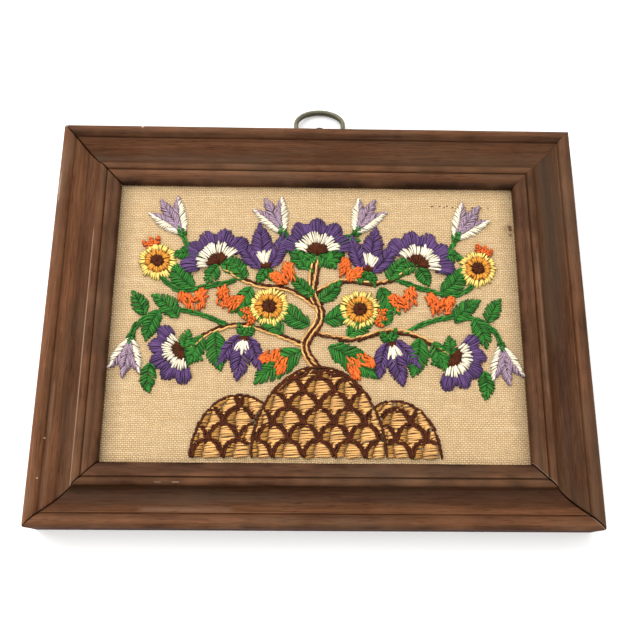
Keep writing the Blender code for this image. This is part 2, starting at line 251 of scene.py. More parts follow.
def placeCamera(setup):
    turn = math.radians(setup["azimuth"])
    tilt = math.radians(setup["elevation"])
    back = Vector((math.sin(turn) * math.cos(tilt), -math.cos(turn) * math.cos(tilt), math.sin(tilt)))
    right = Vector((math.cos(turn), math.sin(turn), 0.0))
    up = back.cross(right)
    roll = math.radians(setup["roll"])
    across = right * math.cos(roll) + up * math.sin(roll)
    upright = up * math.cos(roll) - right * math.sin(roll)
    data = bpy.data.cameras.new("photoCamera")
    data.lens = setup["lens"]
    data.sensor_width = 36.0
    data.clip_start = 0.01
    camera = newObject("photoCamera", data)
    matrix = Matrix((across, upright, back)).transposed().to_4x4()
    aim = middle + Vector((setup["aimAcross"], setup["aimUp"], 0.0))
    matrix.translation = aim + back * setup["distance"]
    camera.matrix_world = matrix
    bpy.context.scene.camera = camera


def softBox(name, place, size, power):
    data = bpy.data.lights.new(name, "AREA")
    data.energy = power
    data.size = size
    lamp = newObject(name, data)
    lamp.location = middle + Vector(place)
    lamp.rotation_euler = (middle - lamp.location).to_track_quat("-Z", "Y").to_euler()


def setStage(setup):
    softBox("windowSide", setup["keyPlace"], setup["keySize"], setup["keyPower"])
    softBox("roomSide", setup["fillPlace"], setup["fillSize"], setup["fillPower"])
    world = bpy.data.worlds.new("studio")
    world.use_nodes = True
    sky = world.node_tree.nodes["Background"]
    feed(world.node_tree, sky, {"Color": (1.0, 1.0, 1.0), "Strength": setup["skyStrength"]})
    bpy.context.scene.world = world
    half = setup["floorSize"] / 2
    corners = [(-half, -half), (half, -half), (half, half), (-half, half)]
    mesh = newMesh("studioFloor", [(x, y, -setup["floorGap"]) for x, y in corners], [(0, 1, 2, 3)])
    material, tree, shader = newMaterial("paleFloor")
    feed(tree, shader, {
        "Base Color": setup["floorColour"],
        "Roughness": 0.9,
        "Emission Color": (1.0, 1.0, 1.0),
        "Emission Strength": setup["floorGlow"],
    })
    floor = newPiece("studioFloor", mesh, material)
    view = bpy.context.scene.view_settings
    view.view_transform = "Standard"
    view.look = "None"


placeCamera(cameraSetup)
setStage(stageSetup)
print("camera, lights and floor placed")


# Wear and painted shade that the wood and the brass share: rubbed ridges, and hollows darkened with painted
# shade

def buildWearAndShade():
    group, given, result = newGroup(
        "rubbedAndShadedHollows",
        [
            ("Colour", colourKind, (0.1, 0.1, 0.1, 1.0)),
            ("Rubbed Colour", colourKind, (0.3, 0.2, 0.1, 1.0)),
            ("Hollow Shade Colour", colourKind, (0.02, 0.01, 0.005, 1.0)),
            ("Place", vectorKind, (0.0, 0.0, 0.0)),
            ("Rubbing", floatKind, 0.6),
            ("Darkening", floatKind, 0.7),
            ("Patch Scale", floatKind, 60.0),
        ],
        [("Colour", colourKind)],
    )
    patches = ramp(group, noiseAt(group, given["Place"], given["Patch Scale"], 4.0), 0.38, 0.66)
    rubbed = times(group, attribute(group, "ridge"), patches, given["Rubbing"])
    # painted shade: the hollows are darkened towards the hollow shade colour
    shadedHollow = times(group, attribute(group, "shadedHollow"), given["Darkening"])
    colour = blend(group, rubbed, given["Colour"], given["Rubbed Colour"])
    group.links.new(blend(group, shadedHollow, colour, given["Hollow Shade Colour"]), result["Colour"])
    return group


wearAndShade = buildWearAndShade()


# The four mitred rails, in one moulding

moulding = {
    "width": leftRailHigh[0] - leftRailLow[0],
    "sections": 72,           # along each rail, between its sawn ends
    "endShares": (0.0022, 0.004),     # where the rubbed end stops and the plain rail starts, of its length
    "easing": 0.12 * mm,      # how far the sawn ends are rubbed back
    "easedGap": 0.5 * mm,     # at a mitre this wide, and less at a tighter one
    "waviness": 0.07 * mm,
    "sharpAngle": 48,         # degrees, past which an edge is kept crisp
}
mitreGaps = {
    "top_right": 0.06 * mm,
    "top_left": 0.5 * mm,
    "bottom_left": 0.5 * mm,
    "bottom_right": 0.6 * mm,
}
woodLook = {
    "dark": (0.042, 0.0150, 0.0060),
    "middle": (0.098, 0.0390, 0.0170),
    "light": (0.185, 0.0780, 0.0360),
    "rubbed": (0.30, 0.135, 0.062),
    "faded": (0.090, 0.056, 0.032),
    "shadedHollow": (0.030, 0.0110, 0.0045),
    "wallShadeTint": (0.62, 0.40, 0.26),
    "chip": (0.70, 0.55, 0.38),
    "paleScuffAndHighlight": (0.42, 0.29, 0.21),
    "roughness": 0.50,
}
railOrder = ["rail_bottom", "rail_right", "rail_top", "rail_left"]
shadingInsets = (0.6, 2.2, 4.2, 7.0, 10.5, 15.5, 17.0, 22.8, 24.2)     # mm in from the outer wall
railShading = {                                                       # how light each rail is painted at each of them: painted light and shade for the way each rail faces the light
    "rail_top": (1.04, 1.06, 0.42, 1.36, 1.28, 0.92, 0.92, 1.28, 0.54),
    "rail_right": (0.72, 0.86, 1.25, 0.96, 0.64, 1.34, 0.86, 0.76, 1.20),
    "rail_bottom": (0.85, 1.60, 0.98, 1.40, 0.80, 0.58, 0.74, 0.98, 0.80),
    "rail_left": (1.90, 1.60, 1.34, 1.95, 1.02, 1.70, 1.15, 0.92, 1.10),
}
Nick = namedtuple("Nick", "rail along inset reach")
nicks = [                                                      # pale chips, in mm along and across a rail
    Nick("rail_left", 52.0, 5.2, 0.35),
    Nick("rail_left", 67.6, 4.3, 0.33),
    Nick("rail_top", 77.0, 0.8, 0.7),
    Nick("rail_top", 110.0, 0.9, 0.45),
]
PaleStreak = namedtuple("PaleStreak", "rail start finish inset width strength")
scuffsAndHighlights = [                                                     # pale lines, likewise: the short ones are rubbed scuffs, the long ones along the beads and brows are painted highlights
    PaleStreak("rail_left", -63, -48, 1.05, 0.26, 0.80),
    PaleStreak("rail_left", -59, -52, 0.75, 0.30, 0.60),
    PaleStreak("rail_left", -50, 85, 15.75, 0.42, 1.0),
    PaleStreak("rail_left", -70, 85, 15.9, 0.9, 0.16),
    PaleStreak("rail_left", 25, 85, 6.5, 0.5, 0.20),
    PaleStreak("rail_bottom", -63, -60, 17.4, 0.35, 0.25),
    PaleStreak("rail_bottom", -56, -53, 17.4, 0.35, 0.45),
    PaleStreak("rail_bottom", -70, -30, 7.0, 1.3, 0.14),
    PaleStreak("rail_right", -40, 36, 17.6, 0.6, 0.14),
]
openCuts = {"rail_bottom": 1, "rail_right": 0}                 # raw wood at this end: 0 left, 1 right
openingWidth = 2 * abs(leftRailHigh[0])
openingHeight = 2 * (middle.y - bottomRailHigh[1])
outerWidth = openingWidth + 2 * moulding["width"]
outerHeight = openingHeight + 2 * moulding["width"]


def ovalArc(centre, halfWidth, rise, start, end, steps):
    points = []
    for step in range(steps + 1):
        angle = math.radians(start + (end - start) * step / steps)
        points.append((centre[0] + halfWidth * math.cos(angle), centre[1] + rise * math.sin(angle)))
    return points


def bezier(corners, steps):
    points = []
    for step in range(steps + 1):
        t = step / steps
        weights = ((1 - t) ** 3, 3 * t * (1 - t) ** 2, 3 * t * t * (1 - t), t ** 3)
        points.append(tuple(sum(w * c[axis] for w, c in zip(weights, corners)) for axis in (0, 1)))
    return points


def mouldingSection():
    # u runs inward from the outer wall, z up from the back; all in millimetres, then scaled
    outline = [(0.25, 0.0), (0.0, 0.3), (0.0, 6.0), (0.0, 12.0)]
    outline += ovalArc((2.4, 17.4), 2.4, 1.6, 180, 90, 10)
    outline += ovalArc((2.4, 16.9), 2.75, 2.1, 90, 15, 9)[1:]
    outline += [(5.25, 16.8), (5.42, 16.75)]
    outline += bezier([(5.75, 17.15), (8.6, 13.2), (14.0, 9.6), (16.1, 14.3)], 18)
    outline += ovalArc((17.75, 14.2), 1.6, 1.4, 165, 15, 12)
    outline += [(19.45, 14.2), (19.6, 14.25), (19.9, 14.8), (20.3, 14.85), (22.2, 14.35)]
    outline += ovalArc((23.6, 12.2), 1.8, 1.8, 63, 0, 8)
    outline += [(25.4, 10.3), (22.4, 10.3), (22.4, 0.0)]
    return [(u * mm, z * mm) for u, z in outline]


def outwardNormals(outline):
    normals = []
    count = len(outline)
    for step in range(count):
        before = Vector(outline[step - 1])
        after = Vector(outline[(step + 1) % count])
        run = (after - before).normalized()
        normals.append(Vector((-run.y, run.x)))
    return normals


def ridgesAndHollows(outline, reach=0.9 * mm, full=0.28 * mm):
    # how far each point stands out of, or lies below, the chord between its neighbours a reach away
    girth = [0.0]
    for one, other in zip(outline, outline[1:]):
        girth.append(girth[-1] + math.dist(one, other))

    def at(distance):
        distance = min(max(distance, 0.0), girth[-1])
        for step in range(len(outline) - 1):
            if girth[step + 1] >= distance:
                share = (distance - girth[step]) / max(girth[step + 1] - girth[step], 1e-9)
                return Vector(outline[step]).lerp(Vector(outline[step + 1]), share)
        return Vector(outline[-1])

    normals = outwardNormals(outline)
    levels = []
    for step, point in enumerate(outline):
        chord = (at(girth[step] - reach) + at(girth[step] + reach)) / 2
        levels.append((Vector(point) - chord).dot(normals[step]) / full)
    return levels


def shadingAt(name, inset):
    tones = railShading[name]
    if inset <= shadingInsets[0]:
        return tones[0]
    for low, high, one, other in zip(shadingInsets, shadingInsets[1:], tones, tones[1:]):
        if inset <= high:
            return one + (other - one) * (inset - low) / (high - low)
    return tones[-1]


def railMesh(name, length, turn, offset, gapLeft, gapRight, seed):
    outline = mouldingSection()
    normals = outwardNormals(outline)
    levels = ridgesAndHollows(outline)
    count = len(outline)
    sections = moulding["sections"]
    rubbed, plain = moulding["endShares"]
    places = [plain + (1 - 2 * plain) * step / (sections - 1) for step in range(sections)]
    places = [0.0, rubbed, *places, 1 - rubbed, 1.0]
    eased = {0: 1.0, 1: 0.25, len(places) - 2: 0.25, len(places) - 1: 1.0}
    points = []
    grain = []
    spots = []
    cuts = []
    spin = Matrix.Rotation(math.radians(turn), 3, "Z")
    for order, place in enumerate(places):
        tightness = min(1.0, (gapLeft if place < 0.5 else gapRight) / moulding["easedGap"])
        inward = moulding["easing"] * eased.get(order, 0.0) * tightness
        for step, (u, z) in enumerate(outline):
            shown = 1.5 < step < count - 3
            left = -(length / 2 - u) + gapLeft / math.sqrt(2)
            right = (length / 2 - u) - gapRight / math.sqrt(2)
            along = left + (right - left) * place
            sway = noise.noise((along * 28, seed * 7.3, u * 60)) * moulding["waviness"]
            du, dz = normals[step] * (sway - inward if shown else 0.0)
            points.append(middle + spin @ Vector((along, u + du - offset, z + dz)))
            grain.append((along + seed * 0.31, u + seed * 0.07, z))
            spots.append((along / mm, u / mm, seed))
            fromEnds = (along - left, right - along)
            cuts.append((fromEnds[openCuts[name]] if name in openCuts else length) / mm)
    faces = []
    for order in range(len(places) - 1):
        for step in range(count):
            follow = (step + 1) % count
            one = order * count
            other = one + count
            faces.append((one + step, other + step, other + follow, one + follow))
    faces.append(tuple(range(count)))
    last = (len(places) - 1) * count
    faces.append(tuple(range(last + count - 1, last - 1, -1)))
    mesh = newMesh(name, points, faces)
    keepOn(mesh, "grain", grain)
    keepOn(mesh, "spot", spots)
    # painted light and shade for each band of each rail
    keepOn(mesh, "tone", [shadingAt(name, inset) for _, inset, _ in spots])
    keepOn(mesh, "cut", cuts)
    # ridges take the rubbed wear; hollows take painted shade in the moulding's grooves
    for label, sign in (("ridge", 1), ("shadedHollow", -1)):
        keepOn(mesh, label, [min(1.0, max(0.0, sign * value)) for value in levels] * len(places))
    tidy = bmesh.new()
    tidy.from_mesh(mesh)
    bmesh.ops.recalc_face_normals(tidy, faces=tidy.faces)
    tidy.to_mesh(mesh)
    tidy.free()
    mesh.shade_smooth()
    mesh.set_sharp_from_angle(angle=math.radians(moulding["sharpAngle"]))
    return mesh


def woodMaterial():
    look = woodLook
    material, tree, shader = newMaterial("walnutStain")
    grain = attribute(tree, "grain", "Vector")

    def inGrain(scale, detail, roughness):
        # noise drawn out along the rail
        place = addNode(tree, "ShaderNodeMapping", {"Vector": grain, "Scale": scale}).outputs["Vector"]
        return noiseAt(tree, place, 1.0, detail, roughness)

    figure = inGrain((7.0, 120.0, 150.0), 4.0, 0.55)
    streaks = inGrain((40.0, 900.0, 1000.0), 4.0, 0.6)
    fibres = inGrain((120.0, 3200.0, 3200.0), 3.0, 0.6)
    pores = inGrain((150.0, 2300.0, 2300.0), 1.0, 0.5)
    drift = inGrain((16.0, 70.0, 70.0), 3.0, 0.55)
    blotches = noiseAt(tree, grain, 26.0, 3.0, 0.55)
    spotPlace = attribute(tree, "spot", "Vector")
    spot = partsOf(tree, spotPlace)
    height = partsOf(tree, objectPlace(tree))["Z"]
    onWall = ramp(tree, spot["Y"], 0.5, 0.0)
    colour = blend(tree, ramp(tree, figure, 0.32, 0.68), look["dark"], look["light"])
    colour = layered(tree, colour, look, [
        ("middle", 0.45),
        ("dark", ramp(tree, streaks, 0.62, 0.36, 0.0, 0.6)),
        ("light", ramp(tree, fibres, 0.52, 0.72, 0.0, 0.5)),
        ("dark", ramp(tree, pores, 0.60, 0.70, 0.0, 0.75)),
        ("dark", ramp(tree, blotches, 0.46, 0.74, 0.0, 0.45)),
        ("faded", ramp(tree, drift, 0.44, 0.64, 0.0, 0.5)),
        # painted shade along the lip beside the linen
        ("shadedHollow", ramp(tree, spot["Y"], 23.4, 25.0, 0.0, 0.8)),
    ])
    # painted shade: the outer wall darkened and reddened
    colour = blend(tree, onWall, colour, look["wallShadeTint"], "MULTIPLY")
    # painted shade: the wall darker towards the floor
    colour = blend(tree, ramp(tree, height, 5 * mm, 0.0, 0.0, 0.6), colour, look["dark"])
    # painted light and shade: each rail's bands made lighter or darker
    colour = shaded(tree, colour, attribute(tree, "tone"))
    colour = useGroup(tree, wearAndShade, {
        "Colour": colour,
        "Place": grain,
        "Rubbed Colour": look["rubbed"],
        "Hollow Shade Colour": look["shadedHollow"],
        "Rubbing": 0.30,
        # painted shade in the moulding's grooves
        "Darkening": 0.20,
        "Patch Scale": 70.0,
    })["Colour"]
    for nick in nicks:
        centre = (nick.along, nick.inset, railOrder.index(nick.rail) + 1)
        mark = times(tree, spotAt(tree, spotPlace, centre, nick.reach), 0.9)
        colour = blend(tree, mark, colour, look["chip"])
    cut = attribute(tree, "cut")
    nearTip = times(tree, band(tree, spot["Z"], 1.0, 0.1, 0.1), ramp(tree, spot["Y"], 7.0, 4.0, 0.0, 0.85))
    nearLip = times(tree, band(tree, spot["Z"], 2.0, 0.1, 0.1), ramp(tree, spot["Y"], 15.0, 17.0, 0.0, 0.60))
    rawEdge = times(tree, ramp(tree, cut, 0.38, 0.10), plus(tree, nearTip, nearLip))
    colour = blend(tree, rawEdge, colour, look["paleScuffAndHighlight"])
    # painted shade on the sawn end face inside an open mitre
    colour = blend(tree, ramp(tree, cut, 0.05, 0.0, 0.0, 0.9), colour, look["shadedHollow"])
    # pale marks: rubbed scuffs, and long painted highlight lines along the beads and brows
    for paleMark in scuffsAndHighlights:
        reach = paleMark.finish - paleMark.start
        along = band(tree, spot["X"], (paleMark.start + paleMark.finish) / 2, reach * 0.4, min(3.0, reach * 0.1))
        across = band(tree, spot["Y"], paleMark.inset, paleMark.width / 3, paleMark.width * 0.7)
        rail = band(tree, spot["Z"], railOrder.index(paleMark.rail) + 1, 0.1, 0.1)
        patchy = ramp(tree, blotches, 0.25, 0.5, 0.5, 1.0)
        mark = times(tree, along, across, rail, patchy, paleMark.strength)
        colour = blend(tree, mark, colour, look["paleScuffAndHighlight"])
    rough = plus(tree, times(tree, blotches, 0.2), look["roughness"] - 0.1)
    rough = plus(tree, rough, times(tree, pores, 0.12), times(tree, onWall, 0.3))
    relief = plus(tree, times(tree, streaks, 0.5), times(tree, fibres, 0.3))
    relief = minus(tree, relief, ramp(tree, pores, 0.58, 0.70, 0.0, 0.5))
    feed(tree, shader, {
        "Base Color": colour,
        "Roughness": rough,
        "Normal": bumped(tree, relief, 0.55, 0.14 * mm),
        "Specular IOR Level": 0.06,
        "Coat Weight": 0.03,
        "Coat Roughness": 0.2,
    })
    return material


def makeRails():
    wood = woodMaterial()
    rails = [
        ("rail_bottom", outerWidth, 0, outerHeight / 2, "bottom_left", "bottom_right"),
        ("rail_right", outerHeight, 90, outerWidth / 2, "bottom_right", "top_right"),
        ("rail_top", outerWidth, 180, outerHeight / 2, "top_right", "top_left"),
        ("rail_left", outerHeight, 270, outerWidth / 2, "top_left", "bottom_left"),
    ]
    for node, length, turn, offset, left, right in rails:
        seed = railOrder.index(node) + 1
        mesh = railMesh(node, length, turn, offset, mitreGaps[left], mitreGaps[right], seed)
        piece = newPiece("moulded_" + node, mesh, wood)
        dress(piece, node)


makeRails()
print("rails made")


# The brass ring and its eye

hardware = {
    "ringHalfWidth": 10.75 * mm,    # along the middle of the wire
    "ringLeg": 7.0 * mm,
    "ringArch": 7.8 * mm,
    "ringSquareness": 3.0,
    "wireRadial": 1.05 * mm,
    "wireAxial": 1.45 * mm,
    "drop": 15.0,
    "slack": (0.4 * mm, 0.2 * mm),  # the ring's foot from the middle of the eye's hole
    "eyeOuter": 3.4 * mm,
    "eyeHole": 2.1 * mm,
    "eyeHalfThickness": 1.7 * mm,
    "eyeHeight": 5.6 * mm,
    "eyeAside": 0.9 * mm,
    "fitGap": 0.3 * mm,
    "shankRadius": 1.1 * mm,
    "shankDepth": 8.0 * mm,
    "pitting": 0.05 * mm,
    "ringSteps": 128,
    "eyeSteps": 48,
    "wireSides": 20,
    "sharpAngle": 50,               # degrees, past which an edge is kept crisp
}
brassLooks = {
    "ring": {
        "bright": (0.28, 0.25, 0.15),
        "dull": (0.155, 0.138, 0.092),
        "green": (0.118, 0.125, 0.085),
        "shadedHollow": (0.016, 0.013, 0.007),
    },
    "eye": {
        "bright": (0.20, 0.105, 0.055),
        "dull": (0.085, 0.045, 0.026),
        "green": (0.065, 0.045, 0.030),
        "shadedHollow": (0.020, 0.013, 0.008),
    },
}


def roundLoop(halfWidth, arch, leg, squareness, steps):
    # half an oval above and a squarer half below
    line = []
    for step in range(steps):
        swing = math.tau * step / steps
        across = math.cos(swing)
        along = math.sin(swing)
        if along < 0:
            across = math.copysign(abs(across) ** (2 / squareness), across)
            along = -abs(along) ** (2 / squareness)
        line.append(Vector((halfWidth * across, (arch if along > 0 else leg) * along, 0.0)))
    return line


def wireMesh(name, line, radial, axial, section, matrix, seed):
    points = []
    faces = []
    edgeShade = []
    steps = len(line)
    for step, place in enumerate(line):
        run = (line[(step + 1) % steps] - line[step - 1]).normalized()
        outward = Vector((run.y, -run.x, 0.0))
        for turn in range(section):
            angle = math.tau * turn / section
            grid = (place.x * 900, place.y * 900 + seed, angle * 0.8)
            pit = noise.noise(grid) * hardware["pitting"]
            offset = outward * (radial + pit) * math.cos(angle)
            offset.z = (axial + pit) * math.sin(angle)
            points.append(matrix @ (place + offset))
            # painted shade along the wire's inner and outer sides
            edgeShade.append(max(0.0, abs(math.cos(angle)) - 0.8) * 5)
            follow = (turn + 1) % section
            after = (step + 1) % steps
            faces.append((step * section + turn, after * section + turn,
                          after * section + follow, step * section + follow))
    mesh = newMesh(name, points, faces)
    keepOn(mesh, "shadedHollow", edgeShade)
    keepOn(mesh, "ridge", [1 - value for value in edgeShade])
    mesh.shade_smooth()
    return mesh


def brassMaterial(part):
    look = brassLooks[part]
    material, tree, shader = newMaterial(part + "Brass")
    place = objectPlace(tree)
    patches = noiseAt(tree, place, 420.0, 4.0, 0.6)
    specks = noiseAt(tree, place, 1600.0, 3.0, 0.6)
    colour = blend(tree, ramp(tree, patches, 0.4, 0.62), look["dull"], look["green"])
    colour = useGroup(tree, wearAndShade, {
        "Colour": colour,
        "Place": place,
        "Rubbed Colour": look["bright"],
        "Hollow Shade Colour": look["shadedHollow"],
        "Rubbing": 0.35,
        "Darkening": 0.7,
        "Patch Scale": 700.0,
    })["Colour"]
    feed(tree, shader, {
        "Base Color": colour,
        "Roughness": plus(tree, times(tree, specks, 0.3), 0.36),
        "Metallic": 0.7,
        "Normal": bumped(tree, specks, 0.6, 0.06 * mm),
    })
    return material


def shankMesh(start, length, radius, steps=10, sides=20):
    # a turned pin along -Y, narrower at its hidden end
    points = []
    faces = []
    for step in range(steps + 1):
        y = start.y - length * step / steps
        reach = radius * (0.72 if step == steps else 1.0)
        for side in range(sides):
            angle = math.tau * side / sides
            points.append((start.x + reach * math.cos(angle), y, start.z + reach * math.sin(angle)))
    for step in range(steps):
        for side in range(sides):
            follow = (side + 1) % sides
            faces.append((step * sides + side, (step + 1) * sides + side,
                          (step + 1) * sides + follow, step * sides + follow))
    faces.append(tuple(range(sides)))
    faces.append(tuple(range(steps * sides + sides - 1, steps * sides - 1, -1)))
    return points, faces


def makeHardware():
    h = hardware
    eyePlace = middle + Vector((h["eyeAside"], outerHeight / 2 + h["eyeOuter"] + h["fitGap"], h["eyeHeight"]))
    foot = Matrix.Translation(eyePlace - Vector((0.0, *h["slack"])))
    lean = foot @ Matrix.Rotation(-math.radians(h["drop"]), 4, "X")
    lean = lean @ Matrix.Translation((0.0, h["ringLeg"], 0.0))
    oval = roundLoop(h["ringHalfWidth"], h["ringArch"], h["ringLeg"], h["ringSquareness"], h["ringSteps"])
    ring = wireMesh("hangingRing", oval, h["wireRadial"], h["wireAxial"], h["wireSides"], lean, 1)
    ringPiece = newPiece("brass_ring", ring, brassMaterial("ring"))
    wall = (h["eyeOuter"] - h["eyeHole"]) / 2
    radius = h["eyeHole"] + wall
    upright = Matrix.Translation(eyePlace) @ Matrix.Rotation(math.radians(90), 4, "Y")
    circle = roundLoop(radius, radius, radius, 2.0, h["eyeSteps"])
    eye = wireMesh("screwEye", circle, wall, h["eyeHalfThickness"], h["wireSides"], upright, 5)
    eyePiece = newPiece("brass_eye", eye, brassMaterial("eye"))
    length = h["shankDepth"] + h["fitGap"] + wall
    points, faces = shankMesh(eyePlace - Vector((0.0, h["eyeOuter"] - wall, 0.0)), length, h["shankRadius"])
    shank = newObject("shank", newMesh("shank", points, faces))
    joined = eyePiece.modifiers.new("shank", "BOOLEAN")
    joined.operation = "UNION"
    joined.solver = "EXACT"
    joined.object = shank
    finished = finishPiece(eyePiece)
    bpy.data.objects.remove(shank)
    finished.shade_smooth()
    finished.set_sharp_from_angle(angle=math.radians(h["sharpAngle"]))
    dress(ringPiece, "hanging_ring")
    dress(eyePiece, "screw_eye")


makeHardware()
print("ring and eye made")


# The linen, stretched flat, its raw edge turned back behind it

linen = {
    "front": 10.0 * mm,
    "thickness": 0.6 * mm,
    "hemWidth": 12.0 * mm,
    "cell": 1.6 * mm,
    "pucker": 0.10 * mm,
    "puckerFade": 6.0 * mm,   # towards the frame
    "threadPitch": 0.81 * mm,
    "hemDepth": 3.5 * mm,     # from the front face to the back of the hem
}
linenLook = {
    "sheenedWeft": (0.84, 0.61, 0.330),
    "warp": (0.70, 0.475, 0.245),
    "slub": (0.88, 0.69, 0.420),
    "gap": (0.42, 0.26, 0.125),
    "stain": (0.13, 0.060, 0.020),
}
Stain = namedtuple("Stain", "x y reach strength")
stains = [                                                     # in mm from the frame's middle
    Stain(84.2, 42.9, 1.1, 1.5),
    Stain(84.4, 41.7, 1.1, 1.5),
    Stain(84.3, 39.1, 1.0, 1.0),
    Stain(83.6, 41.5, 3.4, 0.34),
]
speckRow = {"from": (49.5, 52.3), "to": (74.3, 51.8), "count": 13, "reach": 0.5, "strength": 1.3}


def linenMesh():
    low = Vector(clothLow)
    high = Vector(clothHigh)
    centre = (low + high) / 2
    halfWidth = (high.x - low.x) / 2
    halfHeight = (high.y - low.y) / 2
    half = linen["thickness"] / 2
    frontMid = linen["front"] - half
    radius = linen["hemDepth"] / 2 - half
    backMid = frontMid - 2 * radius

    def strip(halfSize):
        # distance from the middle and height, from the hem's raw edge round the fold, then the front alone
        places = [(halfSize - linen["hemWidth"], backMid), (halfSize - linen["hemWidth"] / 2, backMid)]
        flatHalf = halfSize - radius - half
        for angle in (-90, -60, -30, 0, 30, 60):
            swing = math.radians(angle)
            places.append((flatHalf + radius * math.cos(swing), frontMid - radius + radius * math.sin(swing)))
        steps = round(2 * halfSize / linen["cell"])
        front = [-flatHalf + 2 * flatHalf * step / steps for step in range(steps + 1)]
        return places, front

    sideX, frontX = strip(halfWidth)
    sideY, frontY = strip(halfHeight)
    cornerX = frontX[-1]
    cornerY = frontY[-1]
    grid = bmesh.new()
    front = []
    for y in frontY:
        line = []
        for x in frontX:
            edge = min(1.0, min(cornerX - abs(x), cornerY - abs(y)) / linen["puckerFade"])
            sway = noise.noise((x * 60, y * 60, 3.1)) + 0.5 * noise.noise((x * 170, y * 170, 8.4))
            z = frontMid + linen["pucker"] * sway * edge
            line.append(grid.verts.new((centre.x + x, centre.y + y, z)))
        front.append(line)
    for lower, upper in zip(front, front[1:]):
        for a, b, c, d in zip(lower, lower[1:], upper[1:], upper):
            grid.faces.new((a, b, c, d))
    # the fold and the hem on each side, mitred at the corners
    right = [line[-1] for line in front]
    left = [line[0] for line in front]
    rim = front[0][:-1] + right[:-1] + front[-1][:0:-1] + left[:0:-1]
    previous = rim
    for (x, z), (y, _) in zip(reversed(sideX), reversed(sideY)):
        loop = []
        for vert in rim:
            fromX = (vert.co.x - centre.x) / cornerX
            fromY = (vert.co.y - centre.y) / cornerY
            loop.append(grid.verts.new((centre.x + fromX * x, centre.y + fromY * y, z)))
        for step in range(len(rim)):
            follow = (step + 1) % len(rim)
            grid.faces.new((previous[step], loop[step], loop[follow], previous[follow]))
        previous = loop
    bmesh.ops.recalc_face_normals(grid, faces=grid.faces)
    area = sum(face.calc_area() for face in grid.faces)
    mesh = bpy.data.meshes.new("workedLinen")
    grid.to_mesh(mesh)
    grid.free()
    mesh.shade_smooth()
    turned = 2 * (math.pi * radius + linen["hemWidth"] - radius - half)     # the two folds and hems
    return mesh, (2 * cornerX + turned, 2 * cornerY + turned), area


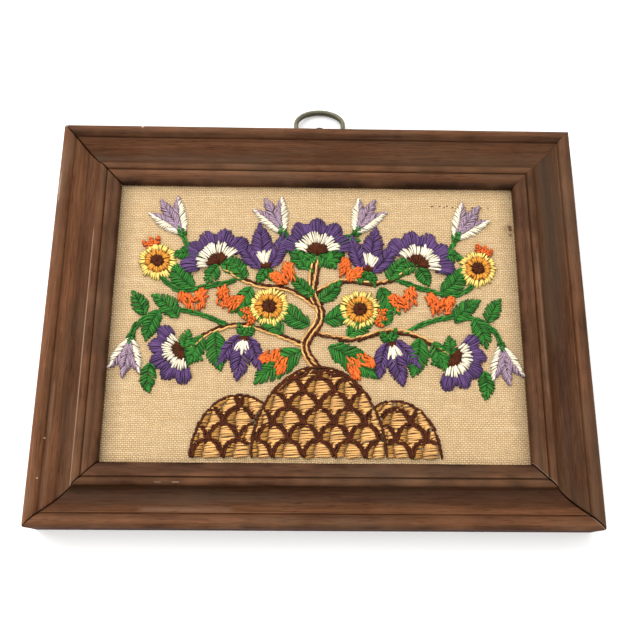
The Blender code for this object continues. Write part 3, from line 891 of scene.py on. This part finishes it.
def linenMaterial():
    look = linenLook
    material, tree, shader = newMaterial("naturalLinen")
    place = objectPlace(tree)
    split = partsOf(tree, place)
    pitch = linen["threadPitch"]
    counts = []
    for axis in ("X", "Y"):
        wander = times(tree, minus(tree, noiseAt(tree, place, 45.0, 2.0), 0.5), 1.3)
        jostle = times(tree, minus(tree, noiseAt(tree, place, 420.0, 1.0), 0.5), 0.95)
        counts.append(plus(tree, maths(tree, "DIVIDE", split[axis], pitch), wander, jostle))
    threads = [maths(tree, "ABSOLUTE", maths(tree, "SINE", times(tree, count, math.pi))) for count in counts]
    numbers = [maths(tree, "FLOOR", count) for count in counts]
    parity = maths(tree, "PINGPONG", plus(tree, numbers[0], numbers[1]), 1.0)
    # thick and thin stretches of each thread: noise that changes from thread to thread and slowly along it
    slubs = []
    for number, along, offset in ((numbers[0], split["Y"], 0.0), (numbers[1], split["X"], 37.0)):
        spot = vectorOf(tree, X=times(tree, number, 0.73), Y=times(tree, along, 60.0), Z=offset)
        slubs.append(noiseAt(tree, spot, 1.0, 2.0, 0.6))
    warpUp = times(tree, threads[0], plus(tree, times(tree, parity, 0.6), 0.4))
    weftUp = times(tree, threads[1], minus(tree, 1.0, times(tree, parity, 0.6)))
    height = maths(tree, "MAXIMUM", warpUp, weftUp)
    height = times(tree, height, ramp(tree, slubs[1], 0.3, 0.6, 0.78, 1.1))
    onTop = ramp(tree, minus(tree, weftUp, warpUp), -0.25, 0.25)
    slub = maths(tree, "MAXIMUM", times(tree, slubs[0], 0.85), slubs[1])
    # a few threads are pale and thick for a long way
    spot = vectorOf(tree, X=times(tree, numbers[1], 7.31), Y=times(tree, split["X"], 18.0), Z=71.0)
    thick = ramp(tree, noiseAt(tree, spot, 1.0, 1.0), 0.58, 0.68)
    thick = times(tree, thick, ramp(tree, threads[1], 0.15, 0.6))
    mottle = noiseAt(tree, place, 380.0, 2.0, 0.6)
    broad = noiseAt(tree, place, 14.0, 3.0, 0.5)
    fibre = noiseAt(tree, place, 1900.0, 2.0, 0.6)
    # where the weft lies on top it is painted paler than the warp, a painted sheen
    colour = blend(tree, onTop, look["warp"], look["sheenedWeft"])
    colour = layered(tree, colour, look, [
        ("warp", ramp(tree, broad, 0.3, 0.7, 0.25, 0.0)),
        ("slub", ramp(tree, slub, 0.56, 0.80, 0.0, 0.85)),
        ("gap", ramp(tree, height, 0.74, 0.34, 0.0, 1.0)),
        ("slub", times(tree, thick, 0.3)),
    ])
    colour = shaded(tree, colour, ramp(tree, mottle, 0.3, 0.7, 0.92, 1.07))
    # painted shade beside the two short rails, darker towards them
    fromMiddle = maths(tree, "ABSOLUTE", split["X"])
    sight = openingWidth / 2
    shadeBesideRails = ramp(tree, fromMiddle, sight - 7.5 * mm, sight - 0.5 * mm, 1.0, 0.66)
    colour = shaded(tree, colour, shadeBesideRails)
    face = linen["front"] / mm
    marks = [(Vector((stain.x, stain.y, face)), stain.reach, stain.strength) for stain in stains]
    row = speckRow
    for step in range(row["count"]):
        share = step / (row["count"] - 1)
        spot = Vector((*row["from"], face)).lerp(Vector((*row["to"], face)), share)
        shiftX, shiftY, growth = [noise.noise((step * 1.37, line, 0)) for line in (1.3, 9.1, 4.4)]
        spot += Vector((1.6 * shiftX, 0.8 * shiftY, 0))
        marks.append((spot, row["reach"] * (0.7 + 0.8 * abs(growth)), row["strength"]))
    frayed = times(tree, fibre, 1.6)
    for spot, reach, strength in marks:
        mark = times(tree, spotAt(tree, place, middle + spot * mm, reach * mm), frayed, strength)
        colour = blend(tree, mark, colour, look["stain"])
    relief = plus(tree, height, times(tree, fibre, 0.3), times(tree, slub, 0.5))
    feed(tree, shader, {
        "Base Color": colour,
        "Roughness": 0.92,
        "Sheen Weight": 0.12,
        "Specular IOR Level": 0.2,
        "Normal": bumped(tree, relief, 1.0, 0.25 * mm),
    })
    return material


def makeLinen():
    mesh, flat, area = linenMesh()
    piece = newPiece("stretched_linen", mesh, linenMaterial())
    thick = piece.modifiers.new("cloth", "SOLIDIFY")
    thick.thickness = linen["thickness"]
    thick.offset = 0.0
    finishPiece(piece)
    dress(piece, "embroidered_linen")
    return piece, flat, area


linenPiece, linenFlat, linenArea = makeLinen()
print("linen made, cut", [round(side, 4) for side in linenFlat], "area", round(linenArea, 5))


# The wool work: a tree in leaf and flower on three mounds, in millimetres from the frame's middle

wool = {
    "yarn": 1.12,             # across the two strands
    "sink": -0.35,            # how far a stitch's end goes into the linen
    "step": 1.35 * mm,        # between the points along a stitch
    "twistLength": 16.0 * mm,
    "groove": 0.34,
    "waver": 0.05 * mm,
    "seed": 7,
    "fanPitch": 0.82,         # from stitch to stitch, in yarns: in a fan
    "bladePitch": 0.86,       # along a leaf or petal
    "rowPitch": 0.95,         # between the rows of a stem
    "hillPitch": 0.80,        # up a mound
}
woolColours = {
    "purple": (0.108, 0.055, 0.155),
    "green": (0.032, 0.170, 0.024),
    "orange": (0.82, 0.155, 0.026),
    "gold": (0.74, 0.300, 0.040),
    "lemon": (0.95, 0.700, 0.190),
    "tan": (0.78, 0.420, 0.145),
    "ochre": (0.460, 0.225, 0.055),
    "brown": (0.075, 0.017, 0.004),
    "lilac": (0.350, 0.243, 0.310),
    "cream": (0.90, 0.800, 0.600),
}
toneSpreads = {"green": 0.85, "purple": 0.60}                  # the other colours keep the group's own
Bloom = namedtuple("Bloom", "kind x y size turn")
Leaf = namedtuple("Leaf", "x y length halfWidth turn bend")
Bough = namedtuple("Bough", "colour width points")
Hill = namedtuple("Hill", "x halfWidth height")
ground = -58.0
hills = [
    Hill(-31, 19, 25),
    Hill(32, 18, 23),
    Hill(1, 27, 37),
]
boughs = [
    Bough("brown", 4.4, [(1, -22), (-5, -12), (2, 1), (-2, 13), (0, 27)]),
    Bough("brown", 2.6, [(-4, -12), (-17, -7), (-31, -3), (-44, -6), (-54, -14)]),
    Bough("brown", 2.6, [(-1, -6), (15, -9), (30, -5), (44, -8), (55, -16)]),
    Bough("brown", 2.4, [(1, 4), (-12, 13), (-27, 15), (-40, 23)]),
    Bough("brown", 2.4, [(-2, 11), (12, 17), (27, 16), (41, 23)]),
    Bough("green", 1.8, [(-33, 17), (-46, 14), (-58, 12), (-66, 18), (-68, 24)]),
    Bough("green", 1.8, [(33, 18), (47, 13), (59, 11), (67, 16), (69, 22)]),
    Bough("green", 1.8, [(-40, 24), (-54, 30), (-58, 38)]),
    Bough("green", 1.8, [(41, 24), (56, 30), (60, 37)]),
    Bough("green", 1.8, [(-36, -4), (-50, 2), (-64, 3), (-75, -3), (-77, -11)]),
    Bough("green", 1.8, [(36, -6), (50, 0), (64, 1), (75, -5), (77, -13)]),
    Bough("green", 1.8, [(-2, 20), (-9, 33), (-15, 39)]),
    Bough("green", 1.8, [(0, 22), (9, 34), (17, 39)]),
]
blooms = [
    Bloom("bell", -58, 38, 18, 124),
    Bloom("bell", 60, 37, 18, 54),
    Bloom("bell", -15, 39, 17, 116),
    Bloom("bell", 17, 39, 17, 62),
    Bloom("bell", -77, -9, 16, 262),
    Bloom("bell", 77, -11, 16, 278),
    Bloom("tulip", -22, 22, 20, 98),
    Bloom("tulip", 22, 21, 20, 80),
    Bloom("tulip", -30, -8, 18, 262),
    Bloom("tulip", 31, -10, 18, 284),
    Bloom("carnation", 0, 29, 17.5, 90),
    Bloom("carnation", -42, 24, 17, 114),
    Bloom("carnation", 43, 24, 17, 66),
    Bloom("carnation", -55, -14, 15, 205),
    Bloom("carnation", 56, -16, 15, -32),
    Bloom("pomegranate", -20, 5, 8.5, 205),
    Bloom("pomegranate", 18, 4, 8.5, -20),
    Bloom("pomegranate", -68, 25, 8, 110),
    Bloom("pomegranate", 69, 23, 8, 70),
    Bloom("heart", -51, 2, 11, 100),
    Bloom("heart", 51, 1, 11, 80),
    Bloom("heart", -40, 3, 11, 60),
    Bloom("heart", 39, 3, 11, 112),
    Bloom("heart", -11, 15, 10, 128),
    Bloom("heart", 11, 17, 10, 58),
    Bloom("heart", -14, -13, 11, 238),
    Bloom("heart", 14, -15, 11, -52),
]
leaves = [
    Leaf(-6, -14, 24, 5.5, 206, 20),
    Leaf(5, -12, 24, 5.5, -24, -20),
    Leaf(-42, -6, 17, 4.5, 268, 24),
    Leaf(43, -8, 17, 4.5, 270, -24),
    Leaf(-3, -3, 18, 4.5, 160, -40),
    Leaf(3, -1, 18, 4.5, 12, 40),
    Leaf(-52, 13, 16, 4.5, 150, -40),
    Leaf(53, 12, 16, 4.5, 30, 40),
    Leaf(-28, 14, 14, 4, 250, -30),
    Leaf(27, 14, 14, 4, 290, 30),
    Leaf(-58, 0, 15, 4, 120, 40),
    Leaf(58, -1, 15, 4, 60, -40),
    Leaf(-4, 22, 14, 3.5, 130, -20),
    Leaf(4, 24, 14, 3.5, 48, 20),
    Leaf(-31, 17, 13, 4, 110, 30),
    Leaf(31, 17, 13, 4, 70, -30),
    Leaf(-68, -20, 12, 3.5, 250, 40),
    Leaf(69, -22, 12, 3.5, 290, -40),
    Leaf(-14, -7, 15, 4, 130, 30),
    Leaf(13, -8, 15, 4, 50, -30),
    Leaf(-47, -8, 14, 4, 235, 20),
    Leaf(48, -10, 14, 4, 305, -20),
    Leaf(-30, -1, 13, 4, 80, 30),
    Leaf(29, -3, 13, 4, 100, -30),
    Leaf(-66, 3, 14, 4, 235, 30),
    Leaf(66, 1, 14, 4, 305, -30),
    Leaf(-72, 1, 12, 3.5, 110, 20),
    Leaf(72, -1, 12, 3.5, 70, -20),
    Leaf(-50, 29, 12, 3.5, 172, 30),
    Leaf(51, 29, 12, 3.5, 8, -30),
    Leaf(-7, 31, 11, 3.5, 150, 20),
    Leaf(8, 32, 11, 3.5, 30, -20),
    Leaf(1, 8, 13, 3.5, 30, 30),
    Leaf(-1, 10, 13, 3.5, 150, -30),
]
scaleWidth = 12.4                                              # of a mound's scales
chance = random.Random(wool["seed"])
sewn = {name: [] for name in woolColours}


def sew(colour, start, finish, arch=1.2, low=None, high=None, wander=0.22):
    # one stitch: its two ends, how high it humps, and the heights that its ends start and finish at
    jitter = [chance.uniform(-wander, wander) for _ in range(4)]
    low = wool["sink"] if low is None else low
    high = wool["sink"] if high is None else high
    sewn[colour].append({
        "ends": ((start[0] + jitter[0], start[1] + jitter[1], low),
                 (finish[0] + jitter[2], finish[1] + jitter[3], high)),
        "arch": arch * chance.uniform(0.86, 1.14),
        "bow": chance.uniform(-0.28, 0.28),
        "width": wool["yarn"] / 2 * chance.uniform(0.9, 1.12),
        "tone": chance.random(),
    })


def polar(x, y, turn, reach, swing):
    angle = math.radians(turn + swing)
    return x + reach * math.cos(angle), y + reach * math.sin(angle)


def fan(colour, x, y, turn, first, last, inner, outer, ragged=0.5, crowd=1.0, **heights):
    # radial stitches about a point, out to a radius that may follow the angle
    edge = outer if callable(outer) else lambda swing: outer
    sweep = math.radians(abs(last - first)) * edge((first + last) / 2)
    count = max(3, round(sweep / (wool["yarn"] * wool["fanPitch"]) * crowd))
    for step in range(count):
        swing = first + (last - first) * (step + 0.5) / count
        near = max(0.0, inner + chance.uniform(-ragged, ragged))
        far = edge(swing) + chance.uniform(-ragged, ragged)
        sew(colour, polar(x, y, turn, near, swing), polar(x, y, turn, far, swing), **heights)


def blade(colour, x, y, turn, length, halfWidth, bend, edging=None, lift=1.0):
    # a leaf or petal in slanting stitches either side of its rib, which bends along an arc
    count = max(4, round(length / (wool["yarn"] * wool["bladePitch"])))
    for step in range(count):
        root = (step + 0.2) / count
        tip = min(1.0, root + 0.17)
        px, py = polar(x, y, turn, length * root, bend * root / 2)
        qx, qy = polar(x, y, turn, length * tip, bend * tip / 2)
        leaning = math.radians(turn + bend * tip)
        half = halfWidth * math.sin(math.pi * min(1.0, tip * 0.96 + 0.04)) ** 0.75
        for side in (1, -1):
            edge = half * side * chance.uniform(0.9, 1.1)
            rim = (qx - math.sin(leaning) * edge, qy + math.cos(leaning) * edge)
            shade = edging[0] if edging and side == edging[1] else colour
            sew(shade, (px, py), rim, 0.85 * lift, low=0.3 * lift)


def carnation(bloom):
    x, y, turn, size = bloom.x, bloom.y, bloom.turn, bloom.size
    lobes = 5
    spread = 168 / lobes
    for lobe in range(lobes):
        centre = -84 + spread * (lobe + 0.5)

        def scallop(swing):
            turned = math.radians(swing - centre) * 90 / spread * 1.9
            return size * (0.80 + 0.19 * max(0.0, math.cos(turned)))

        fan("purple", x, y, turn, centre - spread / 2, centre + spread / 2,
            size * 0.50, scallop, 0.35, 1.05, arch=1.75)
    fan("cream", x, y, turn, -80, 80, size * 0.27, size * 0.58, 1.0, 0.8, arch=1.1, low=0.3, high=0.75)
    fan("brown", x, y, turn, -78, 78, 0.3, size * 0.33, 0.5, 1.1, arch=1.1, low=0.3, high=0.5)
    for side in (1, -1):
        rootX, rootY = polar(x, y, turn, 0.7, side * 135)
        blade("green", rootX, rootY, turn + side * 118, size * 0.55, size * 0.2, side * 18)


def tulip(bloom):
    x, y, turn, size = bloom.x, bloom.y, bloom.turn, bloom.size
    for side in (1, -1):
        rootX, rootY = polar(x, y, turn, size * 0.1, side * 90)
        blade("purple", rootX, rootY, turn + side * 34, size * 0.86, size * 0.18, -side * 14, lift=1.35)
    blade("purple", *polar(x, y, turn, size * 0.06, 0), turn, size, size * 0.24, 0, lift=1.6)
    fan("cream", x, y, turn, -27, 27, size * 0.1, size * 0.42, 1.1, 1.1, arch=1.1, low=0.7, high=0.9)
    fan("brown", x, y, turn, -62, 62, 0.1, size * 0.19, 0.4, 1.2, arch=1.5, low=0.2)
    for side in (1, -1):
        blade("green", *polar(x, y, turn, -0.3, 0), turn + side * 140, size * 0.34, size * 0.12, side * 12)


def pomegranate(bloom):
    x, y, turn, size = bloom.x, bloom.y, bloom.turn, bloom.size

    def wavy(swing):
        return size * (1 + 0.05 * math.cos(math.radians(9 * swing)))

    fan("lemon", x, y, turn, 0, 360, size * 0.6, wavy, 0.7, 0.95, arch=1.45)
    fan("gold", x, y, turn, 0, 360, size * 0.33, size * 0.68, 0.8, 1.0, arch=1.3, low=0.3, high=0.4)
    fan("brown", x, y, turn, 0, 360, 0.2, size * 0.37, 0.4, 1.1, arch=1.2, low=0.6, high=0.4)
    for side in (-1, 0, 1):
        rootX, rootY = polar(x, y, turn, size * 0.95, side * 12)
        blade("orange", rootX, rootY, turn + side * 30, size * 0.5, size * 0.17, 0, lift=1.3)


def bell(bloom):
    # three slender petals that part towards their tips
    x, y, turn, size = bloom.x, bloom.y, bloom.turn, bloom.size
    for side in (1, -1):
        blade("lilac", x, y, turn + side * 17, size * 0.98, size * 0.18, side * 16, ("cream", side), 1.1)
    blade("lilac", *polar(x, y, turn, size * 0.1, 0), turn, size * 0.95, size * 0.17, 0, lift=1.3)
    blade("green", *polar(x, y, turn, -1.5, 0), turn, size * 0.3, size * 0.12, 0, lift=1.4)


def heart(bloom):
    # two plump halves in short stitches that cross at all angles, like seed stitch
    x, y, turn, size = bloom.x, bloom.y, bloom.turn, bloom.size
    for side in (1, -1):
        count = round(size * 3.2)
        for step in range(count):
            reach = size * (0.14 + 0.80 * math.sqrt((step + 0.5) / count))
            across = math.sin(math.pi * min(1.0, reach / size)) ** 0.6 * size * 0.24
            swing = side * (20 + 8 * reach / size)
            px, py = polar(x, y, turn, reach, swing)
            shift = chance.uniform(-across, across)
            angle = math.radians(turn + swing)
            px -= math.sin(angle) * shift
            py += math.cos(angle) * shift
            crossing = math.radians(turn + side * 18 + chance.uniform(-48, 48))
            half = chance.uniform(1.3, 2.0)
            dx, dy = math.cos(crossing) * half, math.sin(crossing) * half
            sew("orange", (px - dx, py - dy), (px + dx, py + dy), chance.uniform(0.9, 1.5), 0.0, 0.0)


def curveThrough(points, steps=16):
    # a Catmull-Rom curve through the points
    padded = [points[0], *points, points[-1]]
    line = []
    for a, b, c, d in zip(padded, padded[1:], padded[2:], padded[3:]):
        for step in range(steps):
            t = step / steps
            line.append(tuple(
                0.5 * (2 * b[axis] + (c[axis] - a[axis]) * t
                       + (2 * a[axis] - 5 * b[axis] + 4 * c[axis] - d[axis]) * t * t
                       + (3 * b[axis] - a[axis] - 3 * c[axis] + d[axis]) * t ** 3)
                for axis in (0, 1)
            ))
    line.append(points[-1])
    return line


def stemStitch(line, width, colours, step=2.6, arch=0.9, low=None):
    # slanting stitches that overlap along a line, in as many rows as its width holds
    lengths = [0.0]
    for one, other in zip(line, line[1:]):
        lengths.append(lengths[-1] + math.dist(one, other))

    def at(distance, aside):
        distance = min(max(distance, 0.0), lengths[-1])
        order = next(k for k in range(1, len(lengths)) if lengths[k] >= distance)
        one, other = line[order - 1], line[order]
        share = (distance - lengths[order - 1]) / max(lengths[order] - lengths[order - 1], 1e-9)
        angle = math.atan2(other[1] - one[1], other[0] - one[0])
        return (one[0] + (other[0] - one[0]) * share - math.sin(angle) * aside,
                one[1] + (other[1] - one[1]) * share + math.cos(angle) * aside)

    rows = max(1, round(width / wool["yarn"]))
    for row in range(rows):
        aside = (row - (rows - 1) / 2) * wool["yarn"] * wool["rowPitch"]
        reach = (row % 2) * step / 2
        while reach < lengths[-1] - 0.8:
            finish = at(reach + step * 1.7, aside + 0.3)
            sew(colours[row % len(colours)], at(reach, aside - 0.3), finish, arch, low, low)
            reach += step


def hillSide(hill, y):
    # half the hill's width at a height
    share = 1 - ((y - ground) / hill.height) ** 2
    return hill.halfWidth * math.sqrt(share) if share > 0 else 0.0


def onHill(hill, spot, margin):
    return abs(spot[0] - hill.x) < hillSide(hill, spot[1]) + margin


def scaleCentres(hill, row):
    # every second row is shifted by half a scale
    return [hill.x + (column + 0.5 * (row % 2)) * scaleWidth for column in range(-4, 5)]


def fillCell(left, right, y, hill, front):
    # one row of a scale, a third in ochre and the rest in tan, kept on its own hill and off the one in front
    side = hillSide(hill, y)
    left = max(left, hill.x - side + 0.4)
    right = min(right, hill.x + side - 0.4)
    if front:
        cover = hillSide(front, y)
        if hill.x < front.x:
            right = min(right, front.x - cover - 0.3)
        else:
            left = max(left, front.x + cover + 0.3)
    if right - left < 1.0:
        return
    parting = left + (right - left) * 0.34
    if right - left > 3.2:
        sew("ochre", (left, y - 0.2), (parting, y + 0.2), 0.95, low=0.1, high=0.1)
        sew("tan", (parting, y - 0.3), (right, y + 0.3), 1.3)
    else:
        sew("tan", (left, y - 0.2), (right, y + 0.2), 1.1, low=0.1, high=0.1)


def workHill(hill, front):
    rise = scaleWidth * 0.56
    spacing = scaleWidth * 0.52
    rows = int(hill.height / spacing) + 1
    y = ground + 0.4
    while y < ground + hill.height - 0.8:
        row = int((y - ground) / spacing)
        climb = (y - ground - row * spacing) / rise
        half = scaleWidth / 2 * math.sqrt(max(0.0, 1 - climb * climb))
        for centre in scaleCentres(hill, row):
            fillCell(centre - half + 0.5, centre + half - 0.5, y, hill, front)
            fillCell(centre + half + 0.5, centre + scaleWidth - half - 0.5, y, hill, front)
        y += wool["yarn"] * wool["hillPitch"]
    for row in range(rows):
        base = ground + row * spacing
        for centre in scaleCentres(hill, row):
            arc = []
            for step in range(13):
                angle = math.pi * step / 12
                spot = (centre + scaleWidth / 2 * math.cos(angle), base + rise * math.sin(angle))
                if onHill(hill, spot, -0.3) and not (front and onHill(front, spot, 0.5)):
                    arc.append(spot)
            if len(arc) > 3:
                stemStitch(arc, 2.1, ["brown"], 1.7, 0.75, 0.55)
    ridge = []
    for step in range(49):
        angle = math.pi * step / 48
        spot = (hill.x + hill.halfWidth * math.cos(angle), ground + hill.height * math.sin(angle))
        if not (front and onHill(front, spot, 0.0)):
            ridge.append(spot)
    stemStitch(ridge, 1.2, ["brown"], 2.2, 0.9, 0.3)


def workAll():
    frontHill = hills[-1]
    for hill in hills:
        workHill(hill, None if hill is frontHill else frontHill)
    for bough in boughs:
        colours = ["brown", "tan"] if bough.colour == "brown" else [bough.colour]
        stemStitch(curveThrough(bough.points), bough.width, colours)
    for leaf in leaves:
        blade("green", leaf.x, leaf.y, leaf.turn, leaf.length, leaf.halfWidth, leaf.bend)
    makers = {
        "carnation": carnation,
        "tulip": tulip,
        "pomegranate": pomegranate,
        "bell": bell,
        "heart": heart,
    }
    for bloom in blooms:
        makers[bloom.kind](bloom)


def stitchLines(name, rows):
    # one edge for each stitch, with its measures on both of its points
    points = []
    for row in rows:
        points += [middle + Vector((x, y, linen["front"] / mm + z)) * mm for x, y, z in row["ends"]]
    mesh = newMesh(name, points, [], [(2 * k, 2 * k + 1) for k in range(len(rows))])
    for label, unit in (("arch", mm), ("bow", mm), ("width", mm), ("tone", 1.0)):
        keepOn(mesh, label, [row[label] * unit for row in rows for _ in (0, 1)])
    return mesh


def buildWoolTree():
    # each edge becomes a two-strand yarn that arches over the linen
    tree = bpy.data.node_groups.new("laidWool", "GeometryNodeTree")
    geometryKind = "NodeSocketGeometry"
    tree.interface.new_socket("Geometry", in_out="INPUT", socket_type=geometryKind)
    for label, kind, value in (
        ("Step", floatKind, wool["step"]),
        ("Twist Length", floatKind, wool["twistLength"]),
        ("Groove", floatKind, wool["groove"]),
        ("Waver", floatKind, wool["waver"]),
        ("Seed", "NodeSocketInt", wool["seed"]),
        ("Wool", "NodeSocketMaterial", None),
    ):
        socket = tree.interface.new_socket(label, in_out="INPUT", socket_type=kind)
        if value is not None:
            socket.default_value = value
    tree.interface.new_socket("Geometry", in_out="OUTPUT", socket_type=geometryKind)
    given = tree.nodes.new("NodeGroupInput").outputs
    result = tree.nodes.new("NodeGroupOutput").inputs

    def made(kind, label, inputs=None, **settings):
        return addNode(tree, "GeometryNode" + kind, inputs, **settings).outputs[label]

    def named(label):
        return made("InputNamedAttribute", "Attribute", {"Name": label})

    def stored(geometry, label, value, kind="FLOAT"):
        inputs = {"Geometry": geometry, "Name": label, "Value": value}
        return made("StoreNamedAttribute", "Geometry", inputs, data_type=kind, domain="POINT")

    def vectorMaths(operation, *values, **scale):
        inputs = {**dict(enumerate(values)), **scale}
        return addNode(tree, "ShaderNodeVectorMath", inputs, operation=operation).outputs["Vector"]

    lines = made("MeshToCurve", "Curve", {"Mesh": given["Geometry"]})
    length = made("SplineLength", "Length")
    points = plus(tree, maths(tree, "DIVIDE", length, given["Step"]), 4.5)
    lines = made("ResampleCurve", 0, {"Curve": lines, "Count": points}, mode="COUNT")
    spline = addNode(tree, "GeometryNodeSplineParameter").outputs
    swing = maths(tree, "ABSOLUTE", minus(tree, times(tree, spline["Factor"], 2.0), 1.0))
    hump = minus(tree, 1.0, maths(tree, "POWER", swing, 2.4))
    tangent = made("InputTangent", "Tangent")
    aside = vectorMaths("NORMALIZE", vectorMaths("CROSS_PRODUCT", tangent, (0.0, 0.0, 1.0)))
    place = made("InputPosition", "Position")
    seeded = vectorMaths("ADD", place, vectorOf(tree, Z=given["Seed"]))
    ripple = noiseAt(tree, seeded, 700.0, 1.0)
    ripple = times(tree, minus(tree, ripple, 0.5), given["Waver"], 4.0)
    sideways = plus(tree, times(tree, named("bow"), hump), times(tree, ripple, hump))
    rise = vectorOf(tree, Z=times(tree, named("arch"), hump))
    shift = vectorMaths("ADD", vectorMaths("SCALE", aside, Scale=sideways), rise)
    lines = made("SetPosition", "Geometry", {"Geometry": lines, "Offset": shift})
    lines = made("SetCurveNormal", "Curve", {"Curve": lines}, mode="Z_UP")
    turn = times(tree, maths(tree, "DIVIDE", spline["Length"], given["Twist Length"]), math.tau)
    turn = plus(tree, turn, times(tree, minus(tree, named("tone"), 0.5), 2.4))
    lines = made("SetCurveTilt", "Curve", {"Curve": lines, "Tilt": turn})
    lines = stored(lines, "along", spline["Length"])

    circle = made("CurvePrimitiveCircle", "Curve", {"Resolution": 8, "Radius": 1.0})
    circle = stored(circle, "around", place, "FLOAT_VECTOR")
    waist = minus(tree, 1.0, maths(tree, "ABSOLUTE", partsOf(tree, place)["X"]))
    waisted = vectorMaths("SCALE", place, Scale=minus(tree, 1.0, times(tree, given["Groove"], waist)))
    circle = made("SetPosition", "Geometry", {"Geometry": circle, "Position": waisted})

    taper = minus(tree, 1.0, times(tree, maths(tree, "POWER", swing, 5.0), 0.3))
    yarn = made("CurveToMesh", "Mesh", {
        "Curve": lines,
        "Profile Curve": circle,
        "Scale": times(tree, named("width"), taper),
        "Fill Caps": True,
    })
    yarn = made("SetShadeSmooth", "Geometry", {"Geometry": yarn, "Shade Smooth": True})
    # which way each point faces, read for the fibre's painted shade and gleam
    yarn = stored(yarn, "facing", partsOf(tree, made("InputNormal", "Normal"))["Z"])
    yarn = made("RealizeInstances", "Geometry", {"Geometry": yarn})
    yarn = made("SetMaterial", "Geometry", {"Geometry": yarn, "Material": given["Wool"]})
    tree.links.new(yarn, result["Geometry"])
    return tree


def buildFibre():
    # spun wool: each stitch lighter or darker, with painted shade between its strands and low on its sides, a
    # painted gleam where it faces up, and streaked
    group, given, result = newGroup(
        "spunWool",
        [
            ("Colour", colourKind, (0.5, 0.5, 0.5, 1.0)),
            ("Tone Spread", floatKind, 0.50),
            ("Groove Shade", floatKind, 0.50),
            ("Side Shade", floatKind, 0.60),
            ("Streaks", floatKind, 0.45),
            ("Gleam", floatKind, 0.80),
        ],
        [("Colour", colourKind), ("Height", floatKind)],
    )
    across = partsOf(group, attribute(group, "around", "Vector"))
    tone = attribute(group, "tone")
    along = plus(group, times(group, attribute(group, "along"), 900.0), times(group, tone, 90.0))
    spot = vectorOf(group, X=along, Y=times(group, across["X"], 4.0), Z=times(group, across["Y"], 4.0))
    streak = noiseAt(group, spot, 1.0, 3.0, 0.6)
    facing = attribute(group, "facing")
    ply = maths(group, "ABSOLUTE", across["X"])
    # painted shade: dark between the strands, and low on the stitch's sides
    groove = times(group, ramp(group, ply, 0.42, 0.0), given["Groove Shade"])
    side = times(group, ramp(group, facing, 0.85, 0.0), given["Side Shade"])
    light = plus(group, times(group, minus(group, tone, 0.5), given["Tone Spread"]), 1.0)
    light = plus(group, light, times(group, minus(group, streak, 0.5), given["Streaks"]))
    light = times(group, light, minus(group, 1.0, groove), minus(group, 1.0, side))
    # painted highlight: a gleam where the yarn faces up
    gleam = times(group, ramp(group, facing, 0.72, 0.98), ramp(group, streak, 0.44, 0.60))
    gleam = times(group, gleam, given["Gleam"])
    light = times(group, light, plus(group, 1.0, gleam))
    group.links.new(shaded(group, given["Colour"], light), result["Colour"])
    group.links.new(plus(group, times(group, streak, 0.8), ply), result["Height"])
    return group


def woolMaterial(name, colour, spread, fibre):
    material, tree, shader = newMaterial(name)
    spun = useGroup(tree, fibre, {"Colour": colour, **spread})
    feed(tree, shader, {
        "Base Color": spun["Colour"],
        "Roughness": 0.8,
        "Specular IOR Level": 0.15,
        "Sheen Weight": 0.06,
        "Sheen Roughness": 0.5,
        "Sheen Tint": tuple(0.5 + 0.5 * value for value in colour),
        "Normal": bumped(tree, spun["Height"], 0.6, 0.1 * mm),
    })
    return material


def makeWool():
    workAll()
    tree = buildWoolTree()
    fibre = buildFibre()
    sockets = {item.name: item.identifier for item in tree.interface.items_tree if item.in_out == "INPUT"}
    pieces = []
    for order, (name, rows) in enumerate(sewn.items()):
        spread = {"Tone Spread": toneSpreads[name]} if name in toneSpreads else {}
        material = woolMaterial(name + "Wool", woolColours[name], spread, fibre)
        piece = newPiece("wool_" + name, stitchLines(name, rows), material)
        laid = piece.modifiers.new("laidWool", "NODES")
        laid.node_group = tree
        laid[sockets["Step"]] = wool["step"]
        laid[sockets["Twist Length"]] = wool["twistLength"]
        laid[sockets["Groove"]] = wool["groove"]
        laid[sockets["Waver"]] = wool["waver"]
        laid[sockets["Seed"]] = wool["seed"] + order
        laid[sockets["Wool"]] = material
        mesh = finishPiece(piece)
        for label in ("arch", "bow", "width"):
            mesh.attributes.remove(mesh.attributes[label])
        dress(piece, "embroidered_linen")
        pieces.append(piece)
        mesh.calc_loop_triangles()
        print("wool", name, len(rows), "stitches", len(mesh.loop_triangles), "triangles")
    return pieces


woolPieces = makeWool()
print("wool work sewn")
